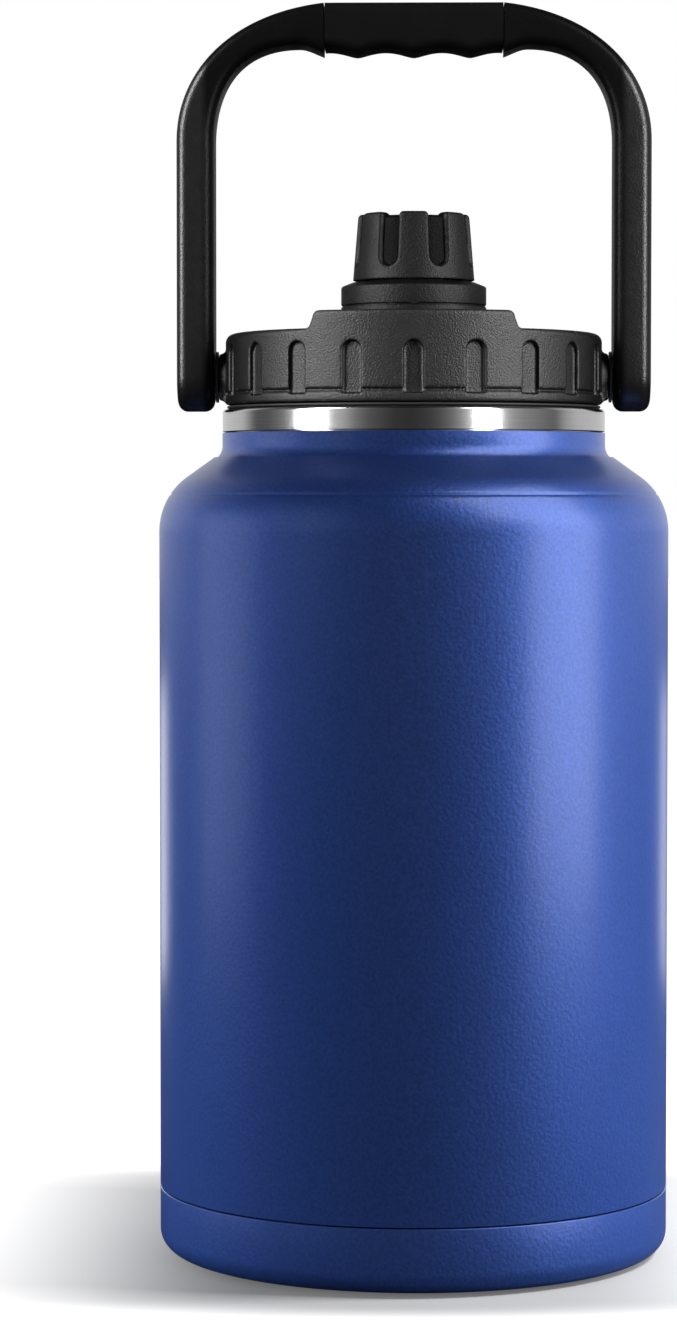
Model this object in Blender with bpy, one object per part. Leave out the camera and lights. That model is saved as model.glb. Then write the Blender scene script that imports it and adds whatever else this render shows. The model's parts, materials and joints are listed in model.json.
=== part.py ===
"""Large insulated water jug with a screw lid, a screw spout cap and a swinging carry handle.

Units are metres, +Z is up, the origin is the centre of the face the jug rests on.
+X runs along the handle's pivot axis and -Y is the front.
"""
import math

import bmesh
import bpy
from mathutils import Matrix, Vector

# ---------------------------------------------------------------- driving dimensions
GAP = 0.0003                 # clearance between neighbouring pieces

# jug body
BODY_R = 0.0760
SHELL_WALL = 0.0006
VACUUM_GAP = 0.0030
LINER_WALL = 0.0005
BASE_FILLET = 0.0064
SEAM_Z = 0.0198              # joint between base cup and outer shell
SHOULDER_ARC_R = 0.0200
SHOULDER_ARC_Z = 0.2157      # height of the shoulder arc's centre
SHOULDER_TURN = math.radians(56.0)
SLOPE_END = (0.0595, 0.2378)
NECK_R = 0.0571
NECK_FILLET_TOP = 0.2413
PAINT_TOP = 0.2450
RIM_TOP = 0.2520
RIM_R = 0.0570
MOUTH_R = 0.0532

# lid
LIP_Z = 0.2533               # underside of the lid
LID_R = 0.0560
BAND_TOP = 0.2572            # top of the smooth band under the finger slots
BAND_TOP_R = 0.0544
DECK_Z = 0.2744
BRIDGE_Z = 0.2795
BRIDGE_HALF_FOOT = 0.0298
BRIDGE_HALF_TOP = 0.0290
BRIDGE_FILLET = 0.0008
LID_WALL = 0.0022
SLOT_WIDTH = 0.0058
SLOT_DEPTH = 0.0015
SLOT_TOP = 0.2708
SLOT_STEP = math.radians(18.5)
SLOTS_EACH_SIDE = 4          # slots left and right of the centre slot, front and back
PLUG_R = 0.0503
PLUG_WALL = 0.0018
PLUG_FLOOR = 0.0022
PLUG_BOTTOM = 0.2300
PLUG_FLANGE_TOP = 0.2550

# screw threads, as ridges on the mouth and plug and on the spout and cap
LID_LEAD = 0.0080
LID_THREAD_TURNS = 1.2
LID_THREAD_Z = 0.2386        # height at which the mouth's thread starts
LID_FLANK_DROP = 0.0020      # how far the plug's ridge lies under the mouth's ridge
LID_RIDGE = (0.0013, 0.0006)  # half widths at the ridge's root and crest
MOUTH_CREST_R = 0.0513
PLUG_CREST_R = 0.0524
CAP_LEAD = 0.0060
CAP_THREAD_TURNS = 1.3
CAP_THREAD_Z = 0.2932
CAP_FLANK_DROP = 0.00125
CAP_RIDGE = (0.0009, 0.0004)
SPOUT_CREST_R = 0.0123
CAP_CREST_R = 0.0119

# spout and cap
COLLAR_R = 0.02165
COLLAR_TOP = 0.2897
COLLAR_LINE_Z = 0.2828
SLEEVE_R = 0.0145
SLEEVE_BORE_R = 0.0118
SLEEVE_FOOT = 0.2346
SPOUT_BORE_R = 0.0095
SPOUT_TUBE_R = 0.0113
SPOUT_TOP = 0.3040
CAP_BOTTOM = 0.2903
CAP_TOP = 0.3101
CAP_FOOT_R = 0.0181
CAP_HEAD_R = 0.0166
CAP_EDGE_Z = 0.3088          # where the cap's side starts to round over
CAP_DISC_R = 0.0114          # sunken disc in the top, ringed by the raised panel ends
CAP_DISC_Z = 0.30915
CAP_VOID_R = 0.0143
CAP_VOID_TOP = 0.3079
FLUTES = 7
FLUTE_WIDTH = 0.0060
FLUTE_DEPTH = 0.0015
FLUTE_BOTTOM = 0.2938

# handle and its pivots
PIVOT_Z = 0.2617
BOSS_R = 0.0070
BOSS_ROOT_X = 0.0542         # the boss and its web start inside the lid's wall
BOSS_X = 0.0580
WASHER_X = 0.0582
SCREW_HEAD_X = 0.0665
SCREW_END_X = 0.0689
COVER_X = 0.0692
LEG_IN = 0.0593
LEG_OUT = 0.07035
LEG_HALF_WIDTH = 0.0103
SECTION_R = 0.0030
BEND_Z = 0.3313              # where the straight legs start to bend
HANDLE_TOP = 0.3720
CROWN_X = 0.0340             # highest point of the inside of each bend
CROWN_Z = 0.3597
GRIP_HALF = 0.0264
BUMP_Z = 0.3572              # underside of the grip at its four bumps
HOLLOW_Z = 0.3587            # and in its three finger hollows
BUMP_SPACING = 0.0168
CORE_LOW = 0.3614
CORE_HIGH = 0.3684
CORE_HALF_WIDTH = 0.0065

# facets
ROUND = 40
SMALL_ROUND = 28
TINY_ROUND = 16


# ---------------------------------------------------------------- helpers
def clear_scene():
    for item in list(bpy.data.objects):
        bpy.data.objects.remove(item, do_unlink=True)


def make_material(name, colour, roughness, metallic=0.0):
    material = bpy.data.materials.new(name)
    material.use_nodes = True
    shader = material.node_tree.nodes["Principled BSDF"]
    shader.inputs["Base Color"].default_value = (*colour, 1.0)
    shader.inputs["Roughness"].default_value = roughness
    shader.inputs["Metallic"].default_value = metallic
    material.diffuse_color = (*colour, 1.0)
    return material


def add_object(name, bm, material=None, smooth_angle=35.0):
    """Turn a bmesh into a scene object with outward faces and smooth round sides."""
    bmesh.ops.remove_doubles(bm, verts=bm.verts, dist=1e-6)
    bmesh.ops.recalc_face_normals(bm, faces=bm.faces)
    mesh = bpy.data.meshes.new(name)
    bm.to_mesh(mesh)
    bm.free()
    if material:
        mesh.materials.append(material)
    mesh.shade_smooth()
    mesh.set_sharp_from_angle(angle=math.radians(smooth_angle))
    item = bpy.data.objects.new(name, mesh)
    bpy.context.scene.collection.objects.link(item)
    return item


def hide_tool(item):
    item.hide_render = True
    item.display_type = 'WIRE'
    return item


def boolean(item, tool, operation='DIFFERENCE'):
    modifier = item.modifiers.new(tool.name, 'BOOLEAN')
    modifier.operation = operation
    modifier.solver = 'EXACT'
    modifier.object = tool


def arc(centre, radius, start, end, steps):
    """Points (r, z) on an arc, angles in degrees from +r towards +z."""
    points = []
    for i in range(steps + 1):
        angle = math.radians(start + (end - start) * i / steps)
        points.append((centre[0] + radius * math.cos(angle), centre[1] + radius * math.sin(angle)))
    return points


def turned(profile, steps=ROUND, closed=True):
    """Spin a closed (r, z) outline about the Z axis into a solid."""
    bm = bmesh.new()
    verts = [bm.verts.new((r, 0.0, z)) for r, z in profile]
    edges = [bm.edges.new((verts[i], verts[i + 1])) for i in range(len(verts) - 1)]
    if closed:
        edges.append(bm.edges.new((verts[-1], verts[0])))
    bmesh.ops.spin(bm, geom=verts + edges, cent=(0, 0, 0), axis=(0, 0, 1),
                   angle=math.tau, steps=steps, use_merge=True, use_duplicate=False)
    return bm


def turned_solid(profile, steps=ROUND):
    """Spin an outline whose ends lie on the axis."""
    return turned(profile, steps, closed=False)


def skin(rings, capped=True):
    """Join rings of equal length into a tube, capped at both ends or closed into a loop."""
    bm = bmesh.new()
    loops = [[bm.verts.new(point) for point in ring] for ring in rings]
    pairs = list(zip(loops[:-1], loops[1:]))
    if not capped:
        pairs.append((loops[-1], loops[0]))
    for low, high in pairs:
        count = len(low)
        for i in range(count):
            j = (i + 1) % count
            bm.faces.new((low[i], low[j], high[j], high[i]))
    if capped:
        bm.faces.new(loops[0])
        bm.faces.new(list(reversed(loops[-1])))
    return bm


def helix_ridge(root_r, crest_r, lead, turns, start_z, halves, steps, first=0):
    """A thread ridge on a right-hand helix, fading into the wall at both ends."""
    root_half, crest_half = halves
    rings = []
    count = round(turns * steps)
    fade = 3.0
    for i in range(first, first + count + 1):
        angle = math.tau * i / steps
        height = min(1.0, (i - first + 0.25) / fade, (first + count - i + 0.25) / fade)
        tip_r = root_r + (crest_r - root_r) * height
        z = start_z + lead * i / steps
        ring = []
        for r, dz in ((root_r, -root_half), (tip_r, -crest_half), (tip_r, crest_half), (root_r, root_half)):
            ring.append((r * math.cos(angle), r * math.sin(angle), z + dz))
        rings.append(ring)
    return skin(rings)


def along_x(bm, side, z=PIVOT_Z):
    """Turn a part modelled on +Z so that its axis is the pivot axis, pointing outwards."""
    spin = Matrix.Rotation(math.radians(90.0) * side, 4, 'Y')
    bmesh.ops.transform(bm, matrix=Matrix.Translation((0, 0, z)) @ spin, verts=bm.verts)
    return bm


def rounded_section(half_thick, half_wide, radius, corner_steps=2):
    """Rounded rectangle as (thickness, width) offsets, anticlockwise."""
    radius = min(radius, 0.95 * half_thick, 0.95 * half_wide)
    points = []
    for quarter, (u, v) in enumerate(((1, 1), (-1, 1), (-1, -1), (1, -1))):
        centre = (u * (half_thick - radius), v * (half_wide - radius))
        points += arc(centre, radius, 90 * quarter, 90 * quarter + 90, corner_steps)
    return points


def bezier(points, t):
    a, b, c, d = (Vector(p) for p in points)
    s = 1.0 - t
    return a * s ** 3 + b * (3 * s * s * t) + c * (3 * s * t * t) + d * t ** 3


def joined(parts):
    """Several separate cutters as one mesh."""
    whole = bmesh.new()
    for part in parts:
        mesh = bpy.data.meshes.new("part")
        part.to_mesh(mesh)
        part.free()
        whole.from_mesh(mesh)
        bpy.data.meshes.remove(mesh)
    return whole


# ---------------------------------------------------------------- jug body
def outer_outline():
    """Outside of the shell from the seam up to the end of the paint."""
    points = [(BODY_R, SEAM_Z + GAP)]
    centre = (BODY_R - SHOULDER_ARC_R, SHOULDER_ARC_Z)
    points += arc(centre, SHOULDER_ARC_R, 0.0, math.degrees(SHOULDER_TURN), 5)
    points += [SLOPE_END]
    fillet = 0.0050
    points += arc((NECK_R + fillet, NECK_FILLET_TOP), fillet, 230.0, 180.0, 2)
    points += [(NECK_R, PAINT_TOP)]
    return points


def make_outer_shell(material):
    outside = outer_outline()
    wall = SHELL_WALL
    inside = [(NECK_R - wall, PAINT_TOP), (NECK_R - wall, NECK_FILLET_TOP - 0.0012)]
    inside += [(SLOPE_END[0] - 0.0004, SLOPE_END[1] - 0.0009)]
    centre = (BODY_R - SHOULDER_ARC_R, SHOULDER_ARC_Z)
    inside += arc(centre, SHOULDER_ARC_R - wall, math.degrees(SHOULDER_TURN), 0.0, 3)
    inside += [(BODY_R - wall, SEAM_Z + GAP)]
    add_object("outer_shell", turned(outside + inside), material)


def make_base_cup(material):
    wall = 0.0008
    ring_z = 0.0005
    recess_r = 0.0615
    floor_z = 0.0026
    fillet_r = BODY_R - BASE_FILLET
    fillet_z = ring_z + BASE_FILLET
    outline = [(BODY_R, SEAM_Z)]
    outline += arc((fillet_r, fillet_z), BASE_FILLET, 0.0, -90.0, 4)
    outline += [(recess_r, ring_z), (recess_r, floor_z), (0.0, floor_z), (0.0, floor_z + wall)]
    outline += [(fillet_r, floor_z + wall)]
    outline += arc((fillet_r, fillet_z), BASE_FILLET - wall, -45.0, 0.0, 2)
    outline += [(BODY_R - wall, SEAM_Z)]
    add_object("base_cup", turned(outline), material)


def make_base_pad(material):
    radius = 0.0612
    top = 0.0023
    pocket_r = 0.0046
    pocket_z = 0.0009
    outline = [(0.0, 0.0), (radius - 0.0008, 0.0), (radius, 0.0008), (radius, top)]
    outline += [(pocket_r, top), (pocket_r, pocket_z), (0.0, pocket_z)]
    add_object("base_pad", turned_solid(outline), material)


def make_vacuum_parts(steel, getter):
    """Bead that seals the vacuum port, and the getter capsule that stands beside it."""
    bead_r = 0.0040
    bead_low = 0.0012
    bead_high = 0.0023
    outline = [(0.0, bead_low), (bead_r / 2, bead_low), (bead_r, bead_high - 0.0003)]
    outline += [(bead_r, bead_high), (0.0, bead_high)]
    add_object("vacuum_seal_bead", turned_solid(outline, TINY_ROUND), steel)
    capsule_r = 0.0050
    capsule_low = 0.0037
    capsule_high = 0.0053
    edge = 0.0004
    offset = 0.025
    outline = [(0.0, capsule_low), (capsule_r, capsule_low), (capsule_r, capsule_high - edge)]
    outline += [(capsule_r - edge, capsule_high), (0.0, capsule_high)]
    item = add_object("getter_capsule", turned_solid(outline, TINY_ROUND), getter)
    item.location = (offset, 0.0, 0.0)


def make_inner_liner(material):
    """Inner bottle, with its rim rolled outwards and down to meet the painted neck."""
    out_r = BODY_R - SHELL_WALL - VACUUM_GAP
    floor = 0.0070
    corner = 0.0080
    arc_r = SHOULDER_ARC_R - SHELL_WALL - VACUUM_GAP
    centre = (BODY_R - SHOULDER_ARC_R, SHOULDER_ARC_Z)
    shoulder_turn = 60.0
    rim_wall = 0.0008
    rim_under = RIM_TOP - 0.0014
    rim_round = 0.0010
    mouth_round = 0.0006
    neck_foot = 0.2337
    outside = [(0.0, floor)]
    outside += arc((out_r - corner, floor + corner), corner, -90.0, 0.0, 2)
    outside += arc(centre, arc_r, 0.0, shoulder_turn, 3)
    outside += [(MOUTH_R + rim_wall, neck_foot), (MOUTH_R + rim_wall, rim_under)]
    outside += [(RIM_R - rim_wall, rim_under)]
    outside += [(RIM_R - rim_wall, PAINT_TOP + GAP), (RIM_R, PAINT_TOP + GAP)]
    outside += [(RIM_R, RIM_TOP - rim_round), (RIM_R - rim_round, RIM_TOP)]
    inside = [(MOUTH_R + mouth_round, RIM_TOP), (MOUTH_R, RIM_TOP - mouth_round)]
    inside += [(MOUTH_R, neck_foot - LINER_WALL)]
    inside += arc(centre, arc_r - LINER_WALL, shoulder_turn, 0.0, 3)
    inside += arc((out_r - corner, floor + corner), corner - LINER_WALL, 0.0, -90.0, 2)
    inside += [(0.0, floor + LINER_WALL)]
    item = add_object("inner_liner", turned_solid(outside + inside), material)
    ridge = helix_ridge(MOUTH_R + 0.0003, MOUTH_CREST_R, LID_LEAD, LID_THREAD_TURNS, LID_THREAD_Z,
                        LID_RIDGE, ROUND)
    tool = hide_tool(add_object("mouth_thread", ridge))
    boolean(item, tool, 'UNION')


# ---------------------------------------------------------------- lid
def side_block(side, inset, low, high, fillet=0.0):
    """Everything beside the raised bridge: a prism along Y that starts at its flank, or inside it."""
    foot = BRIDGE_HALF_FOOT - inset
    top = BRIDGE_HALF_TOP - inset
    reach = LID_R + 0.0060
    half_length = 0.070
    section = [(foot + fillet, low), (foot, low + fillet), (top, high), (reach, high), (reach, low)]
    rings = []
    for y in (-half_length, half_length):
        rings.append([(side * x, y, z) for x, z in section])
    return skin(rings)


def deck_edge(side):
    """Ring that chamfers the outer edge of the lid's side decks."""
    edge = 0.0016
    clear = 0.0020
    over = 0.0005
    outer = LID_R + clear
    outline = [(outer, DECK_Z + over), (LID_R - edge - over, DECK_Z + over)]
    outline += [(LID_R - edge, DECK_Z), (LID_R, DECK_Z - edge), (outer, DECK_Z - edge - clear)]
    ring = hide_tool(add_object(f"deck_edge_{side}", turned(outline)))
    inner = (BRIDGE_HALF_FOOT + BRIDGE_FILLET + 0.0002) * side
    reach = (outer + clear) * side
    corners = ((inner, -outer), (reach, -outer), (reach, outer), (inner, outer))
    low = DECK_Z - edge - 2 * clear
    high = DECK_Z + 2 * clear
    box = skin([[(x, y, z) for x, y in corners] for z in (low, high)])
    limit = hide_tool(add_object(f"deck_edge_limit_{side}", box))
    boolean(ring, limit, 'INTERSECT')
    return ring


def slot_cutter(angle):
    """Arch-topped finger slot, open at the bottom into the rim band."""
    half = SLOT_WIDTH / 2
    clear = 0.0020
    low = BAND_TOP - 0.0003
    outline = [(half, low)]
    outline += arc((0.0, SLOT_TOP - half), half, 0.0, 180.0, 6)
    outline += [(-half, low)]
    bm = skin([[(x, -depth, z) for x, z in outline] for depth in (LID_R - SLOT_DEPTH, LID_R + clear)])
    bmesh.ops.rotate(bm, cent=(0, 0, 0), matrix=Matrix.Rotation(angle, 3, 'Z'), verts=bm.verts)
    return bm


def pivot_boss(side):
    """Boss that carries the handle pivot, with the web that joins it to the rim band."""
    flare = 0.0012
    outline = [(0.0, BOSS_ROOT_X), (BOSS_R + flare, BOSS_ROOT_X), (BOSS_R + flare, LID_R - 0.0004)]
    outline += [(BOSS_R + flare / 4, LID_R + 0.0005), (BOSS_R, LID_R + flare)]
    outline += [(BOSS_R, BOSS_X), (0.0, BOSS_X)]
    boss = hide_tool(add_object(f"boss_{side}", along_x(turned_solid(outline, SMALL_ROUND), side)))
    half = BOSS_R - 0.0004
    web_foot = LIP_Z + 0.0007
    web_corner = web_foot + 0.0020
    web_in = BOSS_ROOT_X - 0.0002
    web_out = BOSS_X - 0.0001
    section = [(web_in, PIVOT_Z), (web_out, PIVOT_Z), (web_out, web_corner)]
    section += [(LID_R - 0.0002, web_foot), (web_in, web_foot)]
    web = skin([[(side * x, y, z) for x, z in section] for y in (-half, half)])
    boolean(boss, hide_tool(add_object(f"boss_web_{side}", web)), 'UNION')
    return boss


def pivot_cylinder(name, radius, inner_x, outer_x, side):
    """Cylinder on the pivot axis, used to build up and to bore the lid."""
    outline = [(0.0, inner_x), (radius, inner_x), (radius, outer_x), (0.0, outer_x)]
    return hide_tool(add_object(f"{name}_{side}", along_x(turned_solid(outline, TINY_ROUND), side)))


def make_lid_shell(material):
    """Cover with a raised bridge across it, finger slots round it and a pivot boss each side."""
    edge = 0.0010
    clear = 0.0020
    outline = [(0.0, LIP_Z), (LID_R - 0.0006, LIP_Z), (LID_R + 0.0001, LIP_Z + 0.0008)]
    outline += [(LID_R - 0.0005, LIP_Z + 0.0022), (BAND_TOP_R, BAND_TOP - 0.0004), (BAND_TOP_R, BAND_TOP)]
    outline += [(LID_R, BAND_TOP), (LID_R, BRIDGE_Z - edge), (LID_R - edge, BRIDGE_Z), (0.0, BRIDGE_Z)]
    item = add_object("lid_shell", turned_solid(outline), material)

    void_r = LID_R - LID_WALL
    void_top = BRIDGE_Z - LID_WALL
    outline = [(0.0, LIP_Z - clear), (void_r, LIP_Z - clear), (void_r, void_top), (0.0, void_top)]
    void = hide_tool(add_object("lid_void", turned_solid(outline)))
    for side in (-1, 1):
        under_deck = side_block(side, LID_WALL, DECK_Z - LID_WALL, BRIDGE_Z)
        boolean(void, hide_tool(add_object(f"under_deck_{side}", under_deck)))
    boolean(item, void)

    for side in (-1, 1):
        block = side_block(side, 0.0, DECK_Z, BRIDGE_Z + clear, BRIDGE_FILLET)
        boolean(item, hide_tool(add_object(f"beside_bridge_{side}", block)))
        boolean(item, deck_edge(side))

    slots = range(-SLOTS_EACH_SIDE, SLOTS_EACH_SIDE + 1)
    cutters = joined([slot_cutter(face + k * SLOT_STEP) for face in (0.0, math.pi) for k in slots])
    boolean(item, hide_tool(add_object("slot_cutters", cutters)))

    for side in (-1, 1):
        boolean(item, pivot_boss(side), 'UNION')
        boolean(item, pivot_cylinder("insert_pillar", 0.0052, 0.0488, BOSS_ROOT_X + 0.0005, side), 'UNION')
        boolean(item, pivot_cylinder("insert_hole", 0.0034, 0.0503, BOSS_X + clear, side))

    hole_r = SLEEVE_R + GAP
    hole_low = BRIDGE_Z - LID_WALL - clear
    hole_high = BRIDGE_Z + clear
    outline = [(0.0, hole_low), (hole_r, hole_low), (hole_r, hole_high), (0.0, hole_high)]
    boolean(item, hide_tool(add_object("sleeve_hole", turned_solid(outline, SMALL_ROUND))))


def make_lid_plug(material):
    """Cup that screws into the mouth; its flange sits just inside the lid's lip."""
    flange_r = LID_R - LID_WALL - GAP
    hole_r = 0.0115
    edge = 0.0012
    inner_r = PLUG_R - PLUG_WALL
    floor_z = PLUG_BOTTOM + PLUG_FLOOR
    outline = [(hole_r, PLUG_BOTTOM), (PLUG_R - edge, PLUG_BOTTOM), (PLUG_R, PLUG_BOTTOM + edge)]
    outline += [(PLUG_R, LIP_Z), (flange_r, LIP_Z), (flange_r, PLUG_FLANGE_TOP), (inner_r, PLUG_FLANGE_TOP)]
    outline += [(inner_r, floor_z), (hole_r, floor_z)]
    item = add_object("lid_plug", turned(outline), material)
    ridge = helix_ridge(PLUG_R - 0.0004, PLUG_CREST_R, LID_LEAD, LID_THREAD_TURNS,
                        LID_THREAD_Z - LID_FLANK_DROP, LID_RIDGE, ROUND)
    boolean(item, hide_tool(add_object("plug_thread", ridge)), 'UNION')


def make_lid_insulation(material):
    """Foam ring that fills the plug round the spout's sleeve."""
    inner = SLEEVE_R + 2 * GAP
    outer = PLUG_R - PLUG_WALL - 2 * GAP
    low = PLUG_BOTTOM + PLUG_FLOOR + GAP
    high = DECK_Z - LID_WALL - 2 * GAP
    outline = [(inner, low), (outer, low), (outer, high), (inner, high)]
    add_object("lid_insulation", turned(outline, SMALL_ROUND), material)


def make_lid_gasket(material):
    """Flat seal between the bottle's rim and the lid, with a rounded outer edge."""
    low = RIM_TOP + GAP
    high = LIP_Z - GAP
    inner = PLUG_R + GAP
    outer = LID_R - GAP
    outline = [(inner, low), (outer - GAP, low), (outer, (low + high) / 2)]
    outline += [(outer - GAP, high), (inner, high)]
    add_object("lid_gasket", turned(outline), material)


# ---------------------------------------------------------------- spout and cap
def make_spout(material):
    """Drinking tube with its collar, and the sleeve that reaches down to the plug's floor."""
    rest = BRIDGE_Z + GAP
    groove = 0.0004
    hollow_r = COLLAR_R - 0.0026
    hollow_top = COLLAR_LINE_Z + 0.0030
    edge = 0.0006
    cone_r = 0.0186
    outline = [(SLEEVE_BORE_R, SLEEVE_FOOT), (SLEEVE_R, SLEEVE_FOOT), (SLEEVE_R, hollow_top)]
    outline += [(hollow_r, hollow_top), (hollow_r, rest), (COLLAR_R, rest)]
    outline += [(COLLAR_R, COLLAR_LINE_Z - groove), (COLLAR_R - groove, COLLAR_LINE_Z)]
    outline += [(COLLAR_R, COLLAR_LINE_Z + groove / 2), (COLLAR_R, COLLAR_TOP - 0.0021)]
    outline += [(COLLAR_R - 0.0008, COLLAR_TOP - 0.0011), (cone_r, COLLAR_TOP), (SPOUT_TUBE_R, COLLAR_TOP)]
    outline += [(SPOUT_TUBE_R, SPOUT_TOP - edge), (SPOUT_TUBE_R - edge, SPOUT_TOP)]
    outline += [(SPOUT_BORE_R + edge, SPOUT_TOP), (SPOUT_BORE_R, SPOUT_TOP - edge)]
    outline += [(SPOUT_BORE_R, COLLAR_TOP - 0.0017), (SLEEVE_BORE_R, COLLAR_TOP - 0.0057)]
    item = add_object("spout", turned(outline, SMALL_ROUND), material)
    ridge = helix_ridge(SPOUT_TUBE_R - 0.0003, SPOUT_CREST_R, CAP_LEAD, CAP_THREAD_TURNS, CAP_THREAD_Z,
                        CAP_RIDGE, SMALL_ROUND)
    boolean(item, hide_tool(add_object("spout_thread", ridge)), 'UNION')


def make_spout_gasket(material):
    """Seal squeezed between the plug's floor and the foot of the sleeve."""
    low = PLUG_BOTTOM + PLUG_FLOOR + GAP
    high = SLEEVE_FOOT - GAP
    inner = 0.0120
    outer = 0.0143
    outline = [(inner, low), (outer, low), (outer, high), (inner, high)]
    add_object("spout_gasket", turned(outline, SMALL_ROUND), material)


def cap_radius(z):
    """Tapering side of the cap."""
    return CAP_FOOT_R + (CAP_HEAD_R - CAP_FOOT_R) * (z - CAP_BOTTOM) / (CAP_EDGE_Z - CAP_BOTTOM)


def flute_cutter(angle):
    """Groove with a rounded bottom, open through the top of the cap."""
    half = FLUTE_WIDTH / 2
    clear = 0.0040
    high = CAP_TOP + 0.0010
    outline = [(half, high)]
    outline += arc((0.0, FLUTE_BOTTOM + half), half, 0.0, -180.0, 6)
    outline += [(-half, high)]
    bm = skin([[(x, -(cap_radius(z) + depth), z) for x, z in outline] for depth in (-FLUTE_DEPTH, clear)])
    bmesh.ops.rotate(bm, cent=(0, 0, 0), matrix=Matrix.Rotation(angle, 3, 'Z'), verts=bm.verts)
    return bm


def rim_notch(angle):
    """Gap between two raised panel ends, down to the sunken disc in the cap's top."""
    half = FLUTE_WIDTH / 2
    high = CAP_TOP + 0.0010
    section = ((-half, CAP_DISC_Z), (half, CAP_DISC_Z), (half, high), (-half, high))
    bm = skin([[(x, -reach, z) for x, z in section] for reach in (CAP_DISC_R - 0.0010, CAP_FOOT_R)])
    bmesh.ops.rotate(bm, cent=(0, 0, 0), matrix=Matrix.Rotation(angle, 3, 'Z'), verts=bm.verts)
    return bm


def make_cap_shell(material):
    edge = 0.0003
    rim_r = cap_radius(CAP_EDGE_Z)
    round_over = CAP_TOP - CAP_EDGE_Z
    slope = 0.0009
    outline = [(CAP_VOID_R, CAP_BOTTOM), (CAP_FOOT_R - edge, CAP_BOTTOM), (CAP_FOOT_R, CAP_BOTTOM + edge)]
    outline += arc((rim_r - round_over, CAP_EDGE_Z), round_over, 0.0, 90.0, 2)
    outline += [(CAP_DISC_R + slope, CAP_TOP), (CAP_DISC_R, CAP_DISC_Z), (0.0, CAP_DISC_Z)]
    outline += [(0.0, CAP_VOID_TOP), (CAP_VOID_R, CAP_VOID_TOP)]
    item = add_object("cap_shell", turned(outline, ROUND), material)
    angles = [math.tau * (k + 0.5) / FLUTES for k in range(FLUTES)]
    for name, cutter in (("flute_cutters", flute_cutter), ("rim_notches", rim_notch)):
        tool = add_object(name, joined([cutter(angle) for angle in angles]))
        boolean(item, hide_tool(tool))


def make_cap_liner(material):
    """Threaded sleeve and ceiling moulded inside the cap."""
    outer = CAP_VOID_R - GAP
    inner = 0.0130
    low = CAP_BOTTOM + 0.0005
    high = CAP_VOID_TOP - GAP
    ceiling = high - 0.0017
    outline = [(inner, low), (outer, low), (outer, high), (0.0, high), (0.0, ceiling), (inner, ceiling)]
    item = add_object("cap_liner", turned(outline, SMALL_ROUND), material)
    ridge = helix_ridge(inner + 0.0003, CAP_CREST_R, CAP_LEAD, CAP_THREAD_TURNS,
                        CAP_THREAD_Z - CAP_FLANK_DROP, CAP_RIDGE, SMALL_ROUND, first=4)
    boolean(item, hide_tool(add_object("cap_thread", ridge)), 'UNION')


def make_cap_gasket(material):
    """Seal that the cap presses onto the spout's end."""
    low = SPOUT_TOP + GAP
    high = CAP_VOID_TOP - 0.0023
    inner = SPOUT_BORE_R - 0.0007
    outer = SPOUT_TUBE_R + 0.0009
    outline = [(inner, low), (outer, low), (outer, high), (inner, high)]
    add_object("cap_gasket", turned(outline, SMALL_ROUND), material)


# ---------------------------------------------------------------- pivots
def make_pivot(side, label, brass, steel, nylon, plug_material):
    """Insert, washer, shoulder screw and cover, all on the handle's pivot axis."""
    insert_in = 0.0506
    insert_out = BOSS_X - 0.0004
    insert_r = (0.0020, 0.0031)
    outline = [(insert_r[0], insert_in), (insert_r[1], insert_in), (insert_r[1], insert_out),
               (insert_r[0], insert_out)]
    add_object(f"pivot_insert_{label}", along_x(turned(outline, TINY_ROUND), side), brass)

    washer_out = WASHER_X + 0.0008
    washer_r = (0.0033, 0.0076)
    outline = [(washer_r[0], WASHER_X), (washer_r[1], WASHER_X), (washer_r[1], washer_out),
               (washer_r[0], washer_out)]
    add_object(f"pivot_washer_{label}", along_x(turned(outline, TINY_ROUND), side), nylon)

    tip_x = 0.0512
    stem_r = 0.0017
    stem_end = BOSS_X - 0.0001
    shoulder_r = 0.0030
    head_r = 0.0054
    edge = 0.0004
    outline = [(0.0, tip_x), (stem_r - edge, tip_x), (stem_r, tip_x + edge), (stem_r, stem_end)]
    outline += [(shoulder_r, stem_end), (shoulder_r, SCREW_HEAD_X), (head_r, SCREW_HEAD_X)]
    outline += [(head_r, SCREW_END_X - edge), (head_r - edge, SCREW_END_X), (0.0, SCREW_END_X)]
    item = add_object(f"pivot_screw_{label}", along_x(turned_solid(outline, TINY_ROUND), side), steel)
    socket_floor = SCREW_END_X - 0.0015
    socket_top = SCREW_END_X + 0.0010
    outline = [(0.0, socket_floor), (stem_r, socket_floor), (stem_r, socket_top), (0.0, socket_top)]
    boolean(item, hide_tool(add_object(f"hex_socket_{label}", along_x(turned_solid(outline, 6), side))))

    cover_r = 0.0056
    outline = [(0.0, COVER_X), (cover_r, COVER_X), (cover_r, LEG_OUT - edge), (cover_r - edge, LEG_OUT)]
    outline += [(0.0, LEG_OUT)]
    add_object(f"pivot_cover_{label}", along_x(turned_solid(outline, TINY_ROUND), side), plug_material)


# ---------------------------------------------------------------- handle
def handle_ring(inner, outer, half_width, side):
    """Section across the handle between a point on its inside and one on its outside."""
    inner = Vector(inner)
    outer = Vector(outer)
    centre = (inner + outer) / 2
    across = (outer - inner).normalized()
    half_thick = (outer - inner).length / 2
    ring = []
    for u, v in rounded_section(half_thick, half_width, SECTION_R):
        point = centre + across * u
        ring.append((side * point.x, v, point.y))
    return ring


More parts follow.
